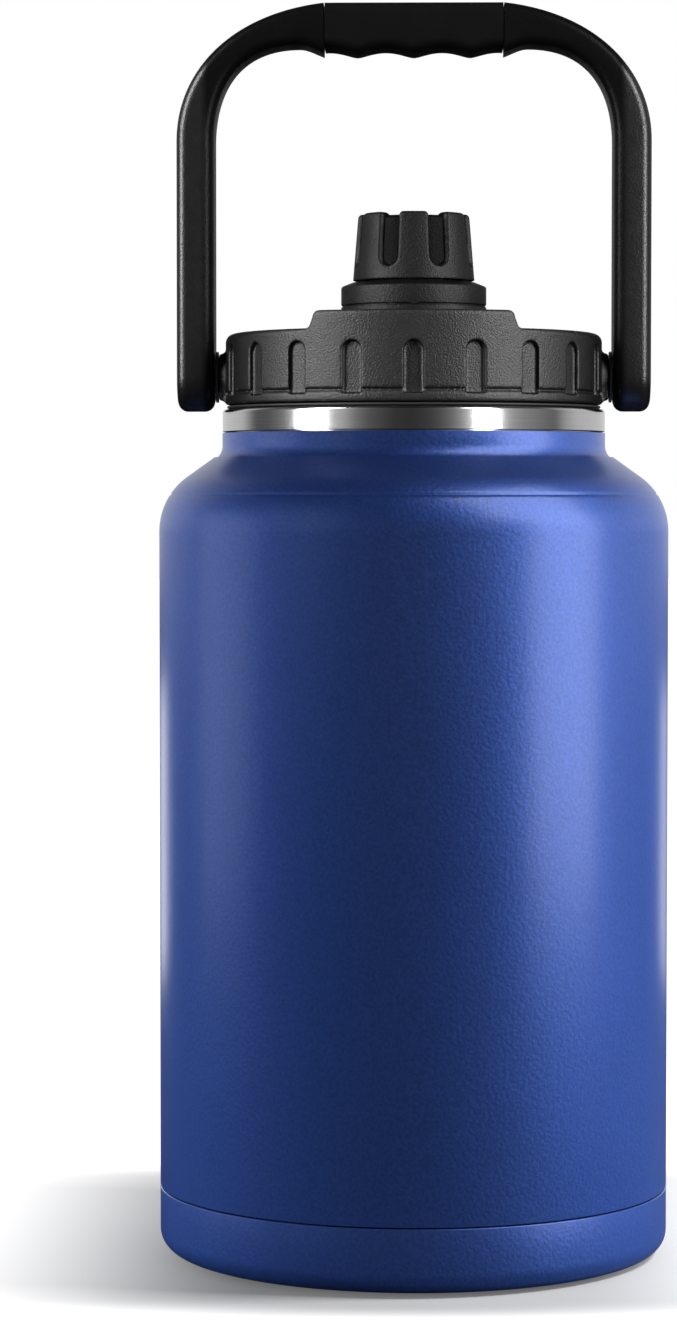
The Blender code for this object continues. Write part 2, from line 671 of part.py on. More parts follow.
def leg_end_sizes(depth):
    """Half width and inset of the leg's rounded end at a depth below the pivot."""
    half_width = math.sqrt(max(LEG_HALF_WIDTH ** 2 - depth ** 2, 0.0))
    over = max(0.0, depth - (LEG_HALF_WIDTH - SECTION_R))
    inset = SECTION_R - math.sqrt(max(SECTION_R ** 2 - over ** 2, 0.0))
    return half_width, inset


def handle_half(side):
    """Rings from the bottom of a leg, round the bend, to the end of the grip."""
    rings = []
    for turn in (79.0, 62.0, 45.0, 28.0, 12.0):
        depth = LEG_HALF_WIDTH * math.sin(math.radians(turn))
        half_width, inset = leg_end_sizes(depth)
        z = PIVOT_Z - depth
        rings.append(handle_ring((LEG_IN + inset, z), (LEG_OUT - inset, z), half_width, side))
    for z in (PIVOT_Z, PIVOT_Z + 0.012):
        rings.append(handle_ring((LEG_IN, z), (LEG_OUT, z), LEG_HALF_WIDTH, side))
    outer_curve = ((LEG_OUT, BEND_Z), (LEG_OUT, BEND_Z + 0.0208), (0.0541, 0.3688), (GRIP_HALF, HANDLE_TOP))
    inner_curve = ((LEG_IN, BEND_Z), (LEG_IN, BEND_Z + 0.0140), (0.0536, CROWN_Z), (CROWN_X, CROWN_Z))
    steps = 10
    for i in range(steps + 1):
        t = i / steps
        inner = bezier(inner_curve, t)
        outer = bezier(outer_curve, t * 0.93)
        rings.append(handle_ring(inner, outer, LEG_HALF_WIDTH, side))
    end_x = GRIP_HALF + GAP
    dip = Vector((CROWN_X, CROWN_Z)).lerp(Vector((end_x, BUMP_Z)), 0.6)
    rings.append(handle_ring(dip, bezier(outer_curve, 0.97), LEG_HALF_WIDTH, side))
    rings.append(handle_ring((end_x, BUMP_Z + GAP), (end_x, HANDLE_TOP), LEG_HALF_WIDTH, side))
    rings.append(handle_ring((end_x, CORE_LOW), (end_x, CORE_HIGH), CORE_HALF_WIDTH, side))
    return rings


def make_handle_frame(material):
    """Legs and bends in one piece, with a thin core that runs through the grip."""
    left = handle_half(-1)
    right = handle_half(1)
    item = add_object("handle_frame", skin(right + list(reversed(left))), material, 40.0)
    bore_r = 0.0033
    seat_r = 0.0059
    seat_x = SCREW_HEAD_X - GAP
    clear = 0.0015
    for side in (-1, 1):
        outline = [(0.0, LEG_IN - clear), (bore_r, LEG_IN - clear), (bore_r, seat_x)]
        outline += [(seat_r, seat_x), (seat_r, LEG_OUT + clear), (0.0, LEG_OUT + clear)]
        tool = add_object(f"pivot_bore_{side}", along_x(turned_solid(outline, TINY_ROUND), side))
        boolean(item, hide_tool(tool))


def grip_low(x):
    """Underside of the grip: three wide finger hollows between four narrow bumps."""
    half = BUMP_SPACING / 2
    away = abs((abs(x) + half) % BUMP_SPACING - half)
    off_bump = 1.0 - away / half
    return HOLLOW_Z + (BUMP_Z - HOLLOW_Z) * (1.0 - math.cos(math.pi / 2 * off_bump))


def make_handle_grip(material):
    """Soft sleeve moulded round the core, as a tube with an outer and an inner skin."""
    stations = 22
    rings = []
    for i in range(stations + 1):
        x = -GRIP_HALF + 2 * GRIP_HALF * i / stations
        rings.append(handle_ring((x, grip_low(x)), (x, HANDLE_TOP), LEG_HALF_WIDTH, 1))
    for x in (GRIP_HALF, -GRIP_HALF):
        rings.append(handle_ring((x, CORE_LOW - GAP), (x, CORE_HIGH + GAP), CORE_HALF_WIDTH + GAP, 1))
    add_object("handle_grip", skin(rings, capped=False), material, 40.0)


# ---------------------------------------------------------------- build
def build():
    clear_scene()
    paint = make_material("blue_powder_coat", (0.020, 0.055, 0.250), 0.42, 0.2)
    steel = make_material("brushed_steel", (0.62, 0.62, 0.61), 0.28, 1.0)
    getter = make_material("getter_metal", (0.30, 0.30, 0.31), 0.55, 1.0)
    pad = make_material("pad_rubber", (0.020, 0.020, 0.022), 0.85)
    lid = make_material("lid_plastic", (0.028, 0.028, 0.030), 0.55)
    plug = make_material("plug_plastic", (0.045, 0.045, 0.048), 0.45)
    foam = make_material("insulation_foam", (0.80, 0.78, 0.70), 0.90)
    seal = make_material("seal_silicone", (0.012, 0.012, 0.013), 0.60)
    brass = make_material("insert_brass", (0.72, 0.52, 0.22), 0.30, 1.0)
    nylon = make_material("washer_nylon", (0.10, 0.10, 0.10), 0.45)
    handle = make_material("handle_plastic", (0.014, 0.014, 0.015), 0.40)
    grip = make_material("grip_rubber", (0.010, 0.010, 0.011), 0.62)

    make_outer_shell(paint)
    make_base_cup(paint)
    make_base_pad(pad)
    make_vacuum_parts(steel, getter)
    make_inner_liner(steel)
    make_lid_shell(lid)
    make_lid_plug(plug)
    make_lid_insulation(foam)
    make_lid_gasket(seal)
    make_spout(lid)
    make_spout_gasket(seal)
    make_cap_shell(lid)
    make_cap_liner(plug)
    make_cap_gasket(seal)
    for side, label in ((-1, "left"), (1, "right")):
        make_pivot(side, label, brass, steel, nylon, handle)
    make_handle_frame(handle)
    make_handle_grip(grip)


build()
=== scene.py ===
"""Looks of the large insulated water jug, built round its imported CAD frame.

Shapes are modelled in millimetres and scaled to metres when a piece is finished.
+Z is up, +X runs along the handle's pivot axis and -Y is the front.
"""

import json
import math

import bmesh
import bpy
from mathutils import Matrix, Vector


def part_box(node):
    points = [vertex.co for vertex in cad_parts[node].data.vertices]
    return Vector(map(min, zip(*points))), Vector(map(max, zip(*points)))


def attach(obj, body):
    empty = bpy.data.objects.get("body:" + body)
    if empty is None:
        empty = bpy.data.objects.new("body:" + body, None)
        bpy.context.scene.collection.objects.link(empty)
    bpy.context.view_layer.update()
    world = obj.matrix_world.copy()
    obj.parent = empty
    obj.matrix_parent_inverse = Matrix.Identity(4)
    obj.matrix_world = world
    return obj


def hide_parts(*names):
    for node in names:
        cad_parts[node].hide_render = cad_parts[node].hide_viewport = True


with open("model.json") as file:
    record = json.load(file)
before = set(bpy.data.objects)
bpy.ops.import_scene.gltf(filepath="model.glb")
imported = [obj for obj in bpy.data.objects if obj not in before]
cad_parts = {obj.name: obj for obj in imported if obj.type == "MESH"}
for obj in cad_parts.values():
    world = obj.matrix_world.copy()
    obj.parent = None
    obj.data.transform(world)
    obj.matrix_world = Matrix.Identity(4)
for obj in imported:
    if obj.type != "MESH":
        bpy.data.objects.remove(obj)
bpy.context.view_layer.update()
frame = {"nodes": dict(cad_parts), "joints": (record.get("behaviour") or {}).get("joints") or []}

MM = 0.001
ROUND = 224                  # facets round the large pieces
SMALL_ROUND = 144            # facets round the spout and cap
TINY_ROUND = 56              # facets round the pivots
HIDDEN_ROUND = 96            # facets round hollows inside the lid
LID_VOXEL = 0.40             # cell of the remesh that joins the lid's shapes


# -------- sizes read from the frame
def box_mm(node):
    low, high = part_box(node)
    return low / MM, high / MM


def reach_mm(node, low, high):
    """Largest radius about Z of a CAD node's points between two heights."""
    radii = [math.hypot(v.co.x, v.co.y) / MM for v in frame["nodes"][node].data.vertices
             if low <= v.co.z / MM <= high]
    return max(radii)


def joint(name):
    return next(item for item in frame["joints"] if item["name"] == name)


SHELL_LOW, SHELL_HIGH = box_mm("outer_shell")
CUP_LOW, CUP_HIGH = box_mm("base_cup")
PAD_HIGH = box_mm("base_pad")[1]
LINER_LOW, LINER_HIGH = box_mm("inner_liner")
GASKET_LOW, GASKET_HIGH = box_mm("lid_gasket")
LID_LOW, LID_HIGH = box_mm("lid_shell")
PLUG_LOW, PLUG_HIGH = box_mm("lid_plug")
SPOUT_LOW, SPOUT_HIGH = box_mm("spout")
CAP_LOW, CAP_HIGH = box_mm("cap_shell")
FRAME_HIGH = box_mm("handle_frame")[1]
GRIP_HIGH = box_mm("handle_grip")[1]
WASHER_LOW, WASHER_HIGH = box_mm("pivot_washer_right")
COVER_LOW, COVER_HIGH = box_mm("pivot_cover_right")

BODY_R = SHELL_HIGH.x
SEAM_Z = SHELL_LOW.z
PAINT_TOP = SHELL_HIGH.z
NECK_R = reach_mm("outer_shell", PAINT_TOP - 0.1, PAINT_TOP + 0.1)
RIM_TOP = LINER_HIGH.z
RIM_R = reach_mm("inner_liner", PAINT_TOP, RIM_TOP - 0.5)
LINER_R = LINER_HIGH.x
PIVOT_Z = joint("handle_swing")["pos_m"][2] / MM
LID_R = LID_HIGH.y
LEG_OUT = FRAME_HIGH.x
LEG_HALF = FRAME_HIGH.y

# -------- sizes shared by several pieces
LEG_IN = 59.3                # inner face of the handle's legs
BEND_R = 20.0                # bend from the body's side into the shoulder
BEND_CENTRE = (BODY_R - BEND_R, 215.7)
BEND_END = 56.0              # degrees round the bend where the straight slope begins
CREASE_Z = 226.8
MOUTH_R = 53.2               # inside of the inner bottle's mouth
CAP_DRAFT = 1.5              # how far the cap's side leans in over its height
CAP_HEIGHT = 18.5
CAP_DISC_Z = 309.15          # sunken disc in the cap's top


# -------- outlines
def arc(r, z, radius, start, end, steps):
    """Points on an arc, angles in degrees from +r towards +z."""
    points = []
    for i in range(steps + 1):
        angle = math.radians(start + (end - start) * i / steps)
        points.append((r + radius * math.cos(angle), z + radius * math.sin(angle)))
    return points


def soften(corners, steps=4):
    """Outline through (r, z) corners, where a third number rounds that corner by that radius."""
    points = []
    count = len(corners)
    for i, corner in enumerate(corners):
        here = Vector(corner[:2])
        if len(corner) == 2:
            points.append(tuple(here))
            continue
        before = (Vector(corners[i - 1][:2]) - here).normalized()
        after = (Vector(corners[(i + 1) % count][:2]) - here).normalized()
        half = before.angle(after) / 2
        reach = corner[2] / math.tan(half)
        centre = here + (before + after).normalized() * (corner[2] / math.sin(half))
        start = here + before * reach - centre
        end = here + after * reach - centre
        turn = start.angle_signed(end)
        for k in range(steps + 1):
            offset = start.copy()
            offset.rotate(Matrix.Rotation(-turn * k / steps, 2))
            points.append(tuple(centre + offset))
    return points


# -------- solids
def spun(outline, steps=ROUND, closed=True):
    """Outline spun about Z. An outline that starts and ends on the axis isn't closed."""
    bm = bmesh.new()
    verts = [bm.verts.new((r, 0.0, z)) for r, z in outline]
    edges = [bm.edges.new(pair) for pair in zip(verts[:-1], verts[1:])]
    if closed:
        edges.append(bm.edges.new((verts[-1], verts[0])))
    bmesh.ops.spin(bm, geom=verts + edges, cent=(0, 0, 0), axis=(0, 0, 1),
                   angle=math.tau, steps=steps, use_merge=True, use_duplicate=False)
    return bm


def skinned(rings, capped=True):
    """Rings of equal length joined into a tube, capped at both ends or closed into a loop."""
    bm = bmesh.new()
    loops = [[bm.verts.new(point) for point in ring] for ring in rings]
    pairs = list(zip(loops[:-1], loops[1:]))
    if not capped:
        pairs.append((loops[-1], loops[0]))
    for low, high in pairs:
        count = len(low)
        for i in range(count):
            j = (i + 1) % count
            bm.faces.new((low[i], low[j], high[j], high[i]))
    if capped:
        bm.faces.new(loops[0])
        bm.faces.new(list(reversed(loops[-1])))
    return bm


LID_THREAD = {"lead": 8.0, "turns": 1.2, "root_half": 1.3, "crest_half": 0.6, "steps": ROUND}
CAP_THREAD = {"lead": 6.0, "turns": 1.3, "root_half": 0.9, "crest_half": 0.4, "steps": SMALL_ROUND}


def plug_shape(radius, low, high, steps):
    """Plain round plug between two heights, for boring a hole."""
    return spun([(0.0, low), (radius, low), (radius, high), (0.0, high)], steps, closed=False)


def thread(root_r, crest_r, start_z, lead, turns, root_half, crest_half, steps, first=0):
    """Rounded thread ridge on a right-hand helix, fading into the wall at both ends."""
    rings = []
    count = round(turns * steps)
    fade = steps / 10
    for i in range(first, first + count + 1):
        angle = math.tau * i / steps
        height = min(1.0, (i - first + 0.3) / fade, (first + count - i + 0.3) / fade)
        height = math.sin(height * math.pi / 2)
        tip_r = root_r + (crest_r - root_r) * height
        near_r = root_r + (crest_r - root_r) * height * 0.86
        z = start_z + lead * i / steps
        shape = ((root_r, -root_half), (near_r, -crest_half * 1.25), (tip_r, -crest_half * 0.7),
                 (tip_r, crest_half * 0.7), (near_r, crest_half * 1.25), (root_r, root_half))
        rings.append([(r * math.cos(angle), r * math.sin(angle), z + dz) for r, dz in shape])
    return skinned(rings)


def along_x(bm, side):
    """Turn a solid modelled on +Z so that it lies on the pivot axis and points outwards."""
    spin = Matrix.Rotation(math.radians(90.0) * side, 4, 'Y')
    bmesh.ops.transform(bm, matrix=Matrix.Translation((0, 0, PIVOT_Z)) @ spin, verts=bm.verts)
    return bm


def solid(name, bm):
    """Scene object, still in millimetres, from a bmesh."""
    bmesh.ops.remove_doubles(bm, verts=bm.verts, dist=0.0005)
    bmesh.ops.recalc_face_normals(bm, faces=bm.faces)
    mesh = bpy.data.meshes.new(name)
    bm.to_mesh(mesh)
    bm.free()
    item = bpy.data.objects.new(name, mesh)
    bpy.context.scene.collection.objects.link(item)
    return item


def settle(item):
    """Apply an object's modifiers."""
    bpy.context.view_layer.update()
    graph = bpy.context.evaluated_depsgraph_get()
    mesh = bpy.data.meshes.new_from_object(item.evaluated_get(graph))
    old = item.data
    item.modifiers.clear()
    item.data = mesh
    bpy.data.meshes.remove(old)
    return item


def combine(item, bm, operation='DIFFERENCE'):
    """Cut a bmesh from an object or join it on, and apply the result."""
    tool = solid("tool", bm)
    modifier = item.modifiers.new("combine", 'BOOLEAN')
    modifier.operation = operation
    modifier.solver = 'EXACT'
    modifier.object = tool
    settle(item)
    bpy.data.objects.remove(tool, do_unlink=True)
    return item


def merged(parts):
    """Several bmeshes as one, for cutters that don't touch each other."""
    whole = bmesh.new()
    for part in parts:
        mesh = bpy.data.meshes.new("part")
        part.to_mesh(mesh)
        part.free()
        whole.from_mesh(mesh)
        bpy.data.meshes.remove(mesh)
    return whole


def melt(item, voxel, passes):
    """Remesh a cut solid into an even skin and soften its edges, as on a moulding."""
    remesh = item.modifiers.new("remesh", 'REMESH')
    remesh.mode = 'VOXEL'
    remesh.voxel_size = voxel
    smooth = item.modifiers.new("smooth", 'SMOOTH')
    smooth.factor = 0.5
    smooth.iterations = passes
    return settle(item)


def finish_piece(item, body, nodes, material, sharp=38.0):
    """Scale to metres, shade, paint, and ride on a CAD body."""
    item.data.transform(Matrix.Scale(MM, 4))
    item.data.shade_smooth()
    item.data.set_sharp_from_angle(angle=math.radians(sharp))
    item.data.materials.clear()
    item.data.materials.append(material)
    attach(item, body)
    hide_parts(*nodes)
    return item


# -------- materials
# grey of the lightened convex edges: rub wear and a painted edge highlight
WORN_AND_HIGHLIGHT_GREY = (0.045, 0.045, 0.045)


def math_node(tree, operation, *values):
    """Result of a math node on sockets and plain numbers."""
    made = tree.nodes.new("ShaderNodeMath")
    made.operation = operation
    for socket, value in zip(made.inputs, values):
        if isinstance(value, float):
            socket.default_value = value
        else:
            tree.links.new(value, socket)
    return made.outputs[0]


class Finish:
    """A Principled material with short calls for the nodes that drive it."""

    def __init__(self, name, colour, roughness, metallic=0.0, specular=0.5):
        self.material = bpy.data.materials.new(name)
        self.material.use_nodes = True
        self.tree = self.material.node_tree
        self.surface = self.tree.nodes["Principled BSDF"]
        self.surface.inputs["Base Color"].default_value = (*colour, 1.0)
        self.surface.inputs["Roughness"].default_value = roughness
        self.surface.inputs["Metallic"].default_value = metallic
        self.surface.inputs["Specular IOR Level"].default_value = specular
        self.where = self.node("ShaderNodeTexCoord").outputs["Object"]
        self.last_bump = None

    def node(self, kind, **settings):
        made = self.tree.nodes.new(kind)
        for key, value in settings.items():
            setattr(made, key, value)
        return made

    def link(self, source, target):
        self.tree.links.new(source, target)

    def noise(self, scale, detail=2.0, stretch=None):
        """Noise value with features of about 1 / scale metres."""
        made = self.node("ShaderNodeTexNoise")
        made.inputs["Scale"].default_value = scale
        made.inputs["Detail"].default_value = detail
        self.link(self.stretched(stretch), made.inputs["Vector"])
        return made.outputs["Fac"]

    def cells(self, scale):
        """Smooth cell pattern, for rubber, foam and sintered metal."""
        made = self.node("ShaderNodeTexVoronoi", feature='SMOOTH_F1')
        made.inputs["Scale"].default_value = scale
        self.link(self.where, made.inputs["Vector"])
        return made.outputs["Distance"]

    def stretched(self, stretch):
        if stretch is None:
            return self.where
        mapping = self.node("ShaderNodeMapping")
        mapping.inputs["Scale"].default_value = stretch
        self.link(self.where, mapping.inputs["Vector"])
        return mapping.outputs["Vector"]

    def axes(self):
        """The object's x, y and z in metres."""
        split = self.node("ShaderNodeSeparateXYZ")
        self.link(self.where, split.inputs["Vector"])
        return split.outputs["X"], split.outputs["Y"], split.outputs["Z"]

    def distance(self, x, y):
        """Length of the flat vector (x, y)."""
        flat = self.node("ShaderNodeCombineXYZ")
        self.link(x, flat.inputs["X"])
        self.link(y, flat.inputs["Y"])
        length = self.node("ShaderNodeVectorMath", operation='LENGTH')
        self.link(flat.outputs["Vector"], length.inputs[0])
        return length.outputs["Value"]

    def fade(self, value, start, end, low=0.0, high=1.0):
        """Smooth step from low to high as a value goes from start to end."""
        made = self.node("ShaderNodeMapRange", interpolation_type='SMOOTHSTEP')
        made.inputs["From Min"].default_value = start
        made.inputs["From Max"].default_value = end
        made.inputs["To Min"].default_value = low
        made.inputs["To Max"].default_value = high
        self.link(value, made.inputs["Value"])
        return made.outputs["Result"]

    def ramp(self, value, low, high):
        """Map a 0..1 value to a range."""
        made = self.node("ShaderNodeMapRange")
        made.inputs["To Min"].default_value = low
        made.inputs["To Max"].default_value = high
        self.link(value, made.inputs["Value"])
        return made.outputs["Result"]

    def bump(self, value, strength, depth):
        made = self.node("ShaderNodeBump")
        made.inputs["Strength"].default_value = strength
        made.inputs["Distance"].default_value = depth
        self.link(value, made.inputs["Height"])
        if self.last_bump:
            self.link(self.last_bump, made.inputs["Normal"])
        self.last_bump = made.outputs["Normal"]
        self.link(self.last_bump, self.surface.inputs["Normal"])

    def tint(self, value, low, high):
        """Colour that moves between two shades with a value."""
        made = self.node("ShaderNodeMix", data_type='RGBA')
        made.inputs[6].default_value = (*low, 1.0)
        made.inputs[7].default_value = (*high, 1.0)
        self.link(value, made.inputs[0])
        self.link(made.outputs[2], self.surface.inputs["Base Color"])
        return made

    def wear_and_edge_highlight(self, mix):
        """Lighten the convex edges of a tinted black surface towards grey: rub wear, together with a painted
        highlight along the edges.
        """
        edge = self.fade(self.node("ShaderNodeNewGeometry").outputs["Pointiness"], 0.53, 0.60)
        worn_and_lit = self.node("ShaderNodeMix", data_type='RGBA')
        worn_and_lit.inputs[7].default_value = (*WORN_AND_HIGHLIGHT_GREY, 1.0)
        self.link(edge, worn_and_lit.inputs[0])
        self.link(mix.outputs[2], worn_and_lit.inputs[6])
        self.link(worn_and_lit.outputs[2], self.surface.inputs["Base Color"])

    def roughen(self, value, low, high):
        self.link(self.ramp(value, low, high), self.surface.inputs["Roughness"])

    def sheen(self, face_on, grazing, share=None):
        """Gloss that falls from faces seen square on to faces seen at a slant, scaled by a share."""
        slant = self.node("ShaderNodeLayerWeight")
        slant.inputs["Blend"].default_value = 0.5
        level = self.fade(slant.outputs["Facing"], 0.25, 0.75, face_on, grazing)
        if share is not None:
            level = math_node(self.tree, 'MULTIPLY', level, share)
        self.link(level, self.surface.inputs["Specular IOR Level"])


def shade(colour, factor):
    return tuple(channel * factor for channel in colour)


def powder_coat():
    """Blue metallic paint with a fine grain under a soft clear gloss."""
    blue = (0.034, 0.090, 0.380)
    finish = Finish("powder_coat", blue, 0.45, metallic=0.40, specular=0.0)
    finish.surface.inputs["Coat Weight"].default_value = 1.0
    finish.surface.inputs["Coat Roughness"].default_value = 0.28
    finish.surface.inputs["Coat IOR"].default_value = 1.42
    grain = finish.noise(1100.0, 3.0)
    speckle = finish.node("ShaderNodeMapRange")
    speckle.inputs["From Min"].default_value = 0.35
    speckle.inputs["From Max"].default_value = 0.65
    finish.link(grain, speckle.inputs["Value"])
    finish.tint(speckle.outputs["Result"], shade(blue, 0.88), shade(blue, 1.12))
    finish.roughen(finish.noise(60.0, 2.0), 0.40, 0.48)
    finish.bump(finish.noise(900.0, 2.0), 0.55, 0.00028)
    finish.bump(grain, 0.20, 0.00010)
    return finish.material


def brushed_steel():
    finish = Finish("brushed_steel", (0.60, 0.60, 0.60), 0.20, metallic=1.0)
    rings = finish.noise(1.0, 3.0, stretch=(18.0, 18.0, 5200.0))
    finish.tint(rings, (0.52, 0.52, 0.53), (0.68, 0.68, 0.68))
    finish.roughen(rings, 0.11, 0.20)
    finish.bump(rings, 0.08, 0.00003)
    return finish.material


def pebbled_plastic():
    black = (0.0065, 0.0065, 0.0067)
    finish = Finish("pebbled_black_plastic", black, 0.50)
    finish.sheen(0.60, 0.06)
    mix = finish.tint(finish.noise(700.0, 3.0), shade(black, 0.30), shade(black, 1.70))
    # convex edges lightened: rub wear and a painted edge highlight
    finish.wear_and_edge_highlight(mix)
    finish.roughen(finish.noise(260.0, 2.0), 0.42, 0.52)
    finish.bump(finish.noise(2000.0, 2.0), 0.75, 0.00026)
    return finish.material


def cap_plastic():
    """Plastic of the cap and the spout, with painted shade that darkens the floors of the cap's flutes and
    lowers their gloss.
    """
    black = (0.0040, 0.0040, 0.0042)
    finish = Finish("pebbled_black_plastic_cap", black, 0.50)
    x, y, z = finish.axes()
    untapered = math_node(finish.tree, 'MULTIPLY_ADD', z, CAP_DRAFT / CAP_HEIGHT, finish.distance(x, y))
    side = (CAP_HIGH.x + CAP_LOW.z * CAP_DRAFT / CAP_HEIGHT) * MM
    panel_share = finish.fade(untapered, side - 1.45 * MM, side - 0.90 * MM)
    # painted shade: the flutes' floors get a darker black and less gloss; the convex edges get rub wear and
    # a painted highlight
    finish.wear_and_edge_highlight(finish.tint(panel_share, shade(black, 0.30), black))
    finish.sheen(0.30, 0.04, finish.ramp(panel_share, 0.20, 1.0))
    finish.roughen(finish.noise(260.0, 2.0), 0.44, 0.56)
    finish.bump(finish.noise(2000.0, 2.0), 0.75, 0.00026)
    return finish.material


def satin_plastic():
    """Plastic of the handle, with painted shade: its gloss is cut down towards the jug, and only the outer
    part of the legs keeps it in full.
    """
    black = (0.0035, 0.0035, 0.0038)
    finish = Finish("satin_black_plastic", black, 0.36)
    finish.tint(finish.noise(90.0, 3.0), shade(black, 0.85), shade(black, 1.20))
    finish.roughen(finish.noise(320.0, 3.0), 0.31, 0.39)
    finish.bump(finish.noise(1800.0, 2.0), 0.45, 0.00018)
    # painted shade: gloss falls to a tenth on the legs' inner part and everything nearer the jug's axis
    across = math_node(finish.tree, 'ABSOLUTE', finish.axes()[0])
    outer_share = finish.fade(across, (LEG_IN + 1.5) * MM, (LEG_IN + 4.5) * MM, 0.10, 1.0)
    finish.sheen(0.74, 0.05, outer_share)
    return finish.material


def plug_plastic():
    grey = (0.045, 0.045, 0.047)
    finish = Finish("plug_plastic", grey, 0.42)
    finish.tint(finish.noise(80.0, 2.0), shade(grey, 0.88), shade(grey, 1.12))
    finish.roughen(finish.noise(400.0, 2.0), 0.38, 0.48)
    finish.bump(finish.noise(2200.0, 2.0), 0.10, 0.00005)
    return finish.material


def soft_grip():
    black = (0.0040, 0.0040, 0.0042)
    finish = Finish("grip_rubber", black, 0.58)
    finish.sheen(0.04, 0.03)
    finish.tint(finish.noise(150.0, 3.0), shade(black, 0.8), shade(black, 1.25))
    finish.roughen(finish.noise(500.0, 2.0), 0.52, 0.64)
    finish.bump(finish.cells(1500.0), 0.40, 0.00010)
    return finish.material


def silicone():
    black = (0.012, 0.012, 0.012)
    finish = Finish("seal_silicone", black, 0.55)
    finish.tint(finish.noise(200.0, 2.0), shade(black, 0.9), shade(black, 1.1))
    finish.roughen(finish.noise(900.0, 2.0), 0.50, 0.62)
    finish.bump(finish.noise(3000.0, 1.0), 0.10, 0.00004)
    return finish.material


def pad_rubber():
    black = (0.020, 0.020, 0.021)
    finish = Finish("pad_rubber", black, 0.80)
    finish.tint(finish.noise(70.0, 4.0), shade(black, 0.8), shade(black, 1.5))
    finish.roughen(finish.noise(300.0, 3.0), 0.72, 0.90)
    finish.bump(finish.cells(700.0), 0.50, 0.00015)
    return finish.material


def foam():
    cream = (0.78, 0.76, 0.68)
    finish = Finish("insulation_foam", cream, 0.95)
    finish.tint(finish.noise(300.0, 4.0), shade(cream, 0.85), shade(cream, 1.05))
    finish.bump(finish.cells(900.0), 0.8, 0.0003)
    return finish.material


def brass():
    yellow = (0.70, 0.50, 0.20)
    finish = Finish("insert_brass", yellow, 0.30, metallic=1.0)
    finish.tint(finish.noise(400.0, 3.0), shade(yellow, 0.85), shade(yellow, 1.05))
    finish.bump(finish.noise(1.0, 2.0, stretch=(6000.0, 60.0, 60.0)), 0.15, 0.00004)
    return finish.material


def nylon():
    grey = (0.055, 0.055, 0.056)
    finish = Finish("washer_nylon", grey, 0.40)
    finish.tint(finish.noise(300.0, 2.0), shade(grey, 0.9), shade(grey, 1.1))
    finish.bump(finish.noise(2500.0, 2.0), 0.10, 0.00004)
    return finish.material


def getter_metal():
    grey = (0.28, 0.28, 0.29)
    finish = Finish("getter_metal", grey, 0.60, metallic=1.0)
    finish.tint(finish.noise(900.0, 4.0), shade(grey, 0.6), shade(grey, 1.2))
    finish.bump(finish.cells(2500.0), 0.5, 0.0001)
    return finish.material


# -------- jug
def shoulder_path():
    """Outside of the shoulder, from the body's side up to the neck, with its pressed crease."""
    crease = math.degrees(math.asin((CREASE_Z - BEND_CENTRE[1]) / BEND_R))
    wide, narrow, depth = 1.4, 0.35, 0.22
    fillet = 5.0
    points = arc(*BEND_CENTRE, BEND_R, 0.0, crease - wide, 12)
    points += arc(*BEND_CENTRE, BEND_R - depth, crease - narrow, crease + narrow, 1)
    points += arc(*BEND_CENTRE, BEND_R, crease + wide, BEND_END, 10)
    points += [(NECK_R + 2.4, 237.8)]
    points += arc(NECK_R + fillet, 241.3, fillet, 226.0, 180.0, 8)
    return points


def make_shell(material):
    wall = 0.6
    edge = 0.35
    top_edge = 0.2
    outline = arc(BODY_R - edge, SEAM_Z + edge, edge, -90.0, 0.0, 4)
    outline += shoulder_path()
    outline += arc(NECK_R - top_edge, PAINT_TOP - top_edge, top_edge, 0.0, 90.0, 3)
    outline += [(NECK_R - wall, PAINT_TOP), (NECK_R - wall, 240.0), (NECK_R + 1.6, 237.1)]
    outline += arc(*BEND_CENTRE, BEND_R - wall, BEND_END, 0.0, 8)
    outline += [(BODY_R - wall, SEAM_Z)]
    item = solid("painted_shell", spun(outline))
    return finish_piece(item, "jug", ["outer_shell"], material)


def make_base_cup(material):
    wall = 0.8
    edge = 0.35
    fillet = 6.4
    ring_z = CUP_LOW.z
    recess_r = 61.5
    floor_z = 2.6
    top = CUP_HIGH.z
    outline = arc(BODY_R - edge, top - edge, edge, 90.0, 0.0, 4)
    outline += arc(BODY_R - fillet, ring_z + fillet, fillet, 0.0, -90.0, 12)
    outline += soften([(recess_r + 5.0, ring_z), (recess_r, ring_z, 0.5), (recess_r, floor_z, 0.4),
                       (0.0, floor_z), (0.0, floor_z + wall), (BODY_R - fillet, floor_z + wall)])
    outline += arc(BODY_R - fillet, ring_z + fillet, fillet - wall, -60.0, 0.0, 6)
    outline += [(BODY_R - wall, top)]
    item = solid("painted_base_cup", spun(outline))
    return finish_piece(item, "jug", ["base_cup"], material)


def make_base_pad(material):
    """Non-slip pad with a moulded ring groove and a pocket over the sealed port."""
    radius = PAD_HIGH.x
    top = PAD_HIGH.z
    groove, groove_depth = 53.0, 0.5
    pocket, pocket_floor = 4.6, 0.9
    corners = [(0.0, 0.0), (groove - 1.2, 0.0, 0.3), (groove - 0.8, groove_depth, 0.2)]
    corners += [(groove + 0.8, groove_depth, 0.2), (groove + 1.2, 0.0, 0.3)]
    corners += [(radius - 0.8, 0.0, 0.5), (radius, 0.8, 0.5), (radius, top, 0.2)]
    corners += [(pocket, top), (pocket, pocket_floor), (0.0, pocket_floor)]
    item = solid("non_slip_pad", spun(soften(corners), closed=False))
    return finish_piece(item, "jug", ["base_pad"], material)


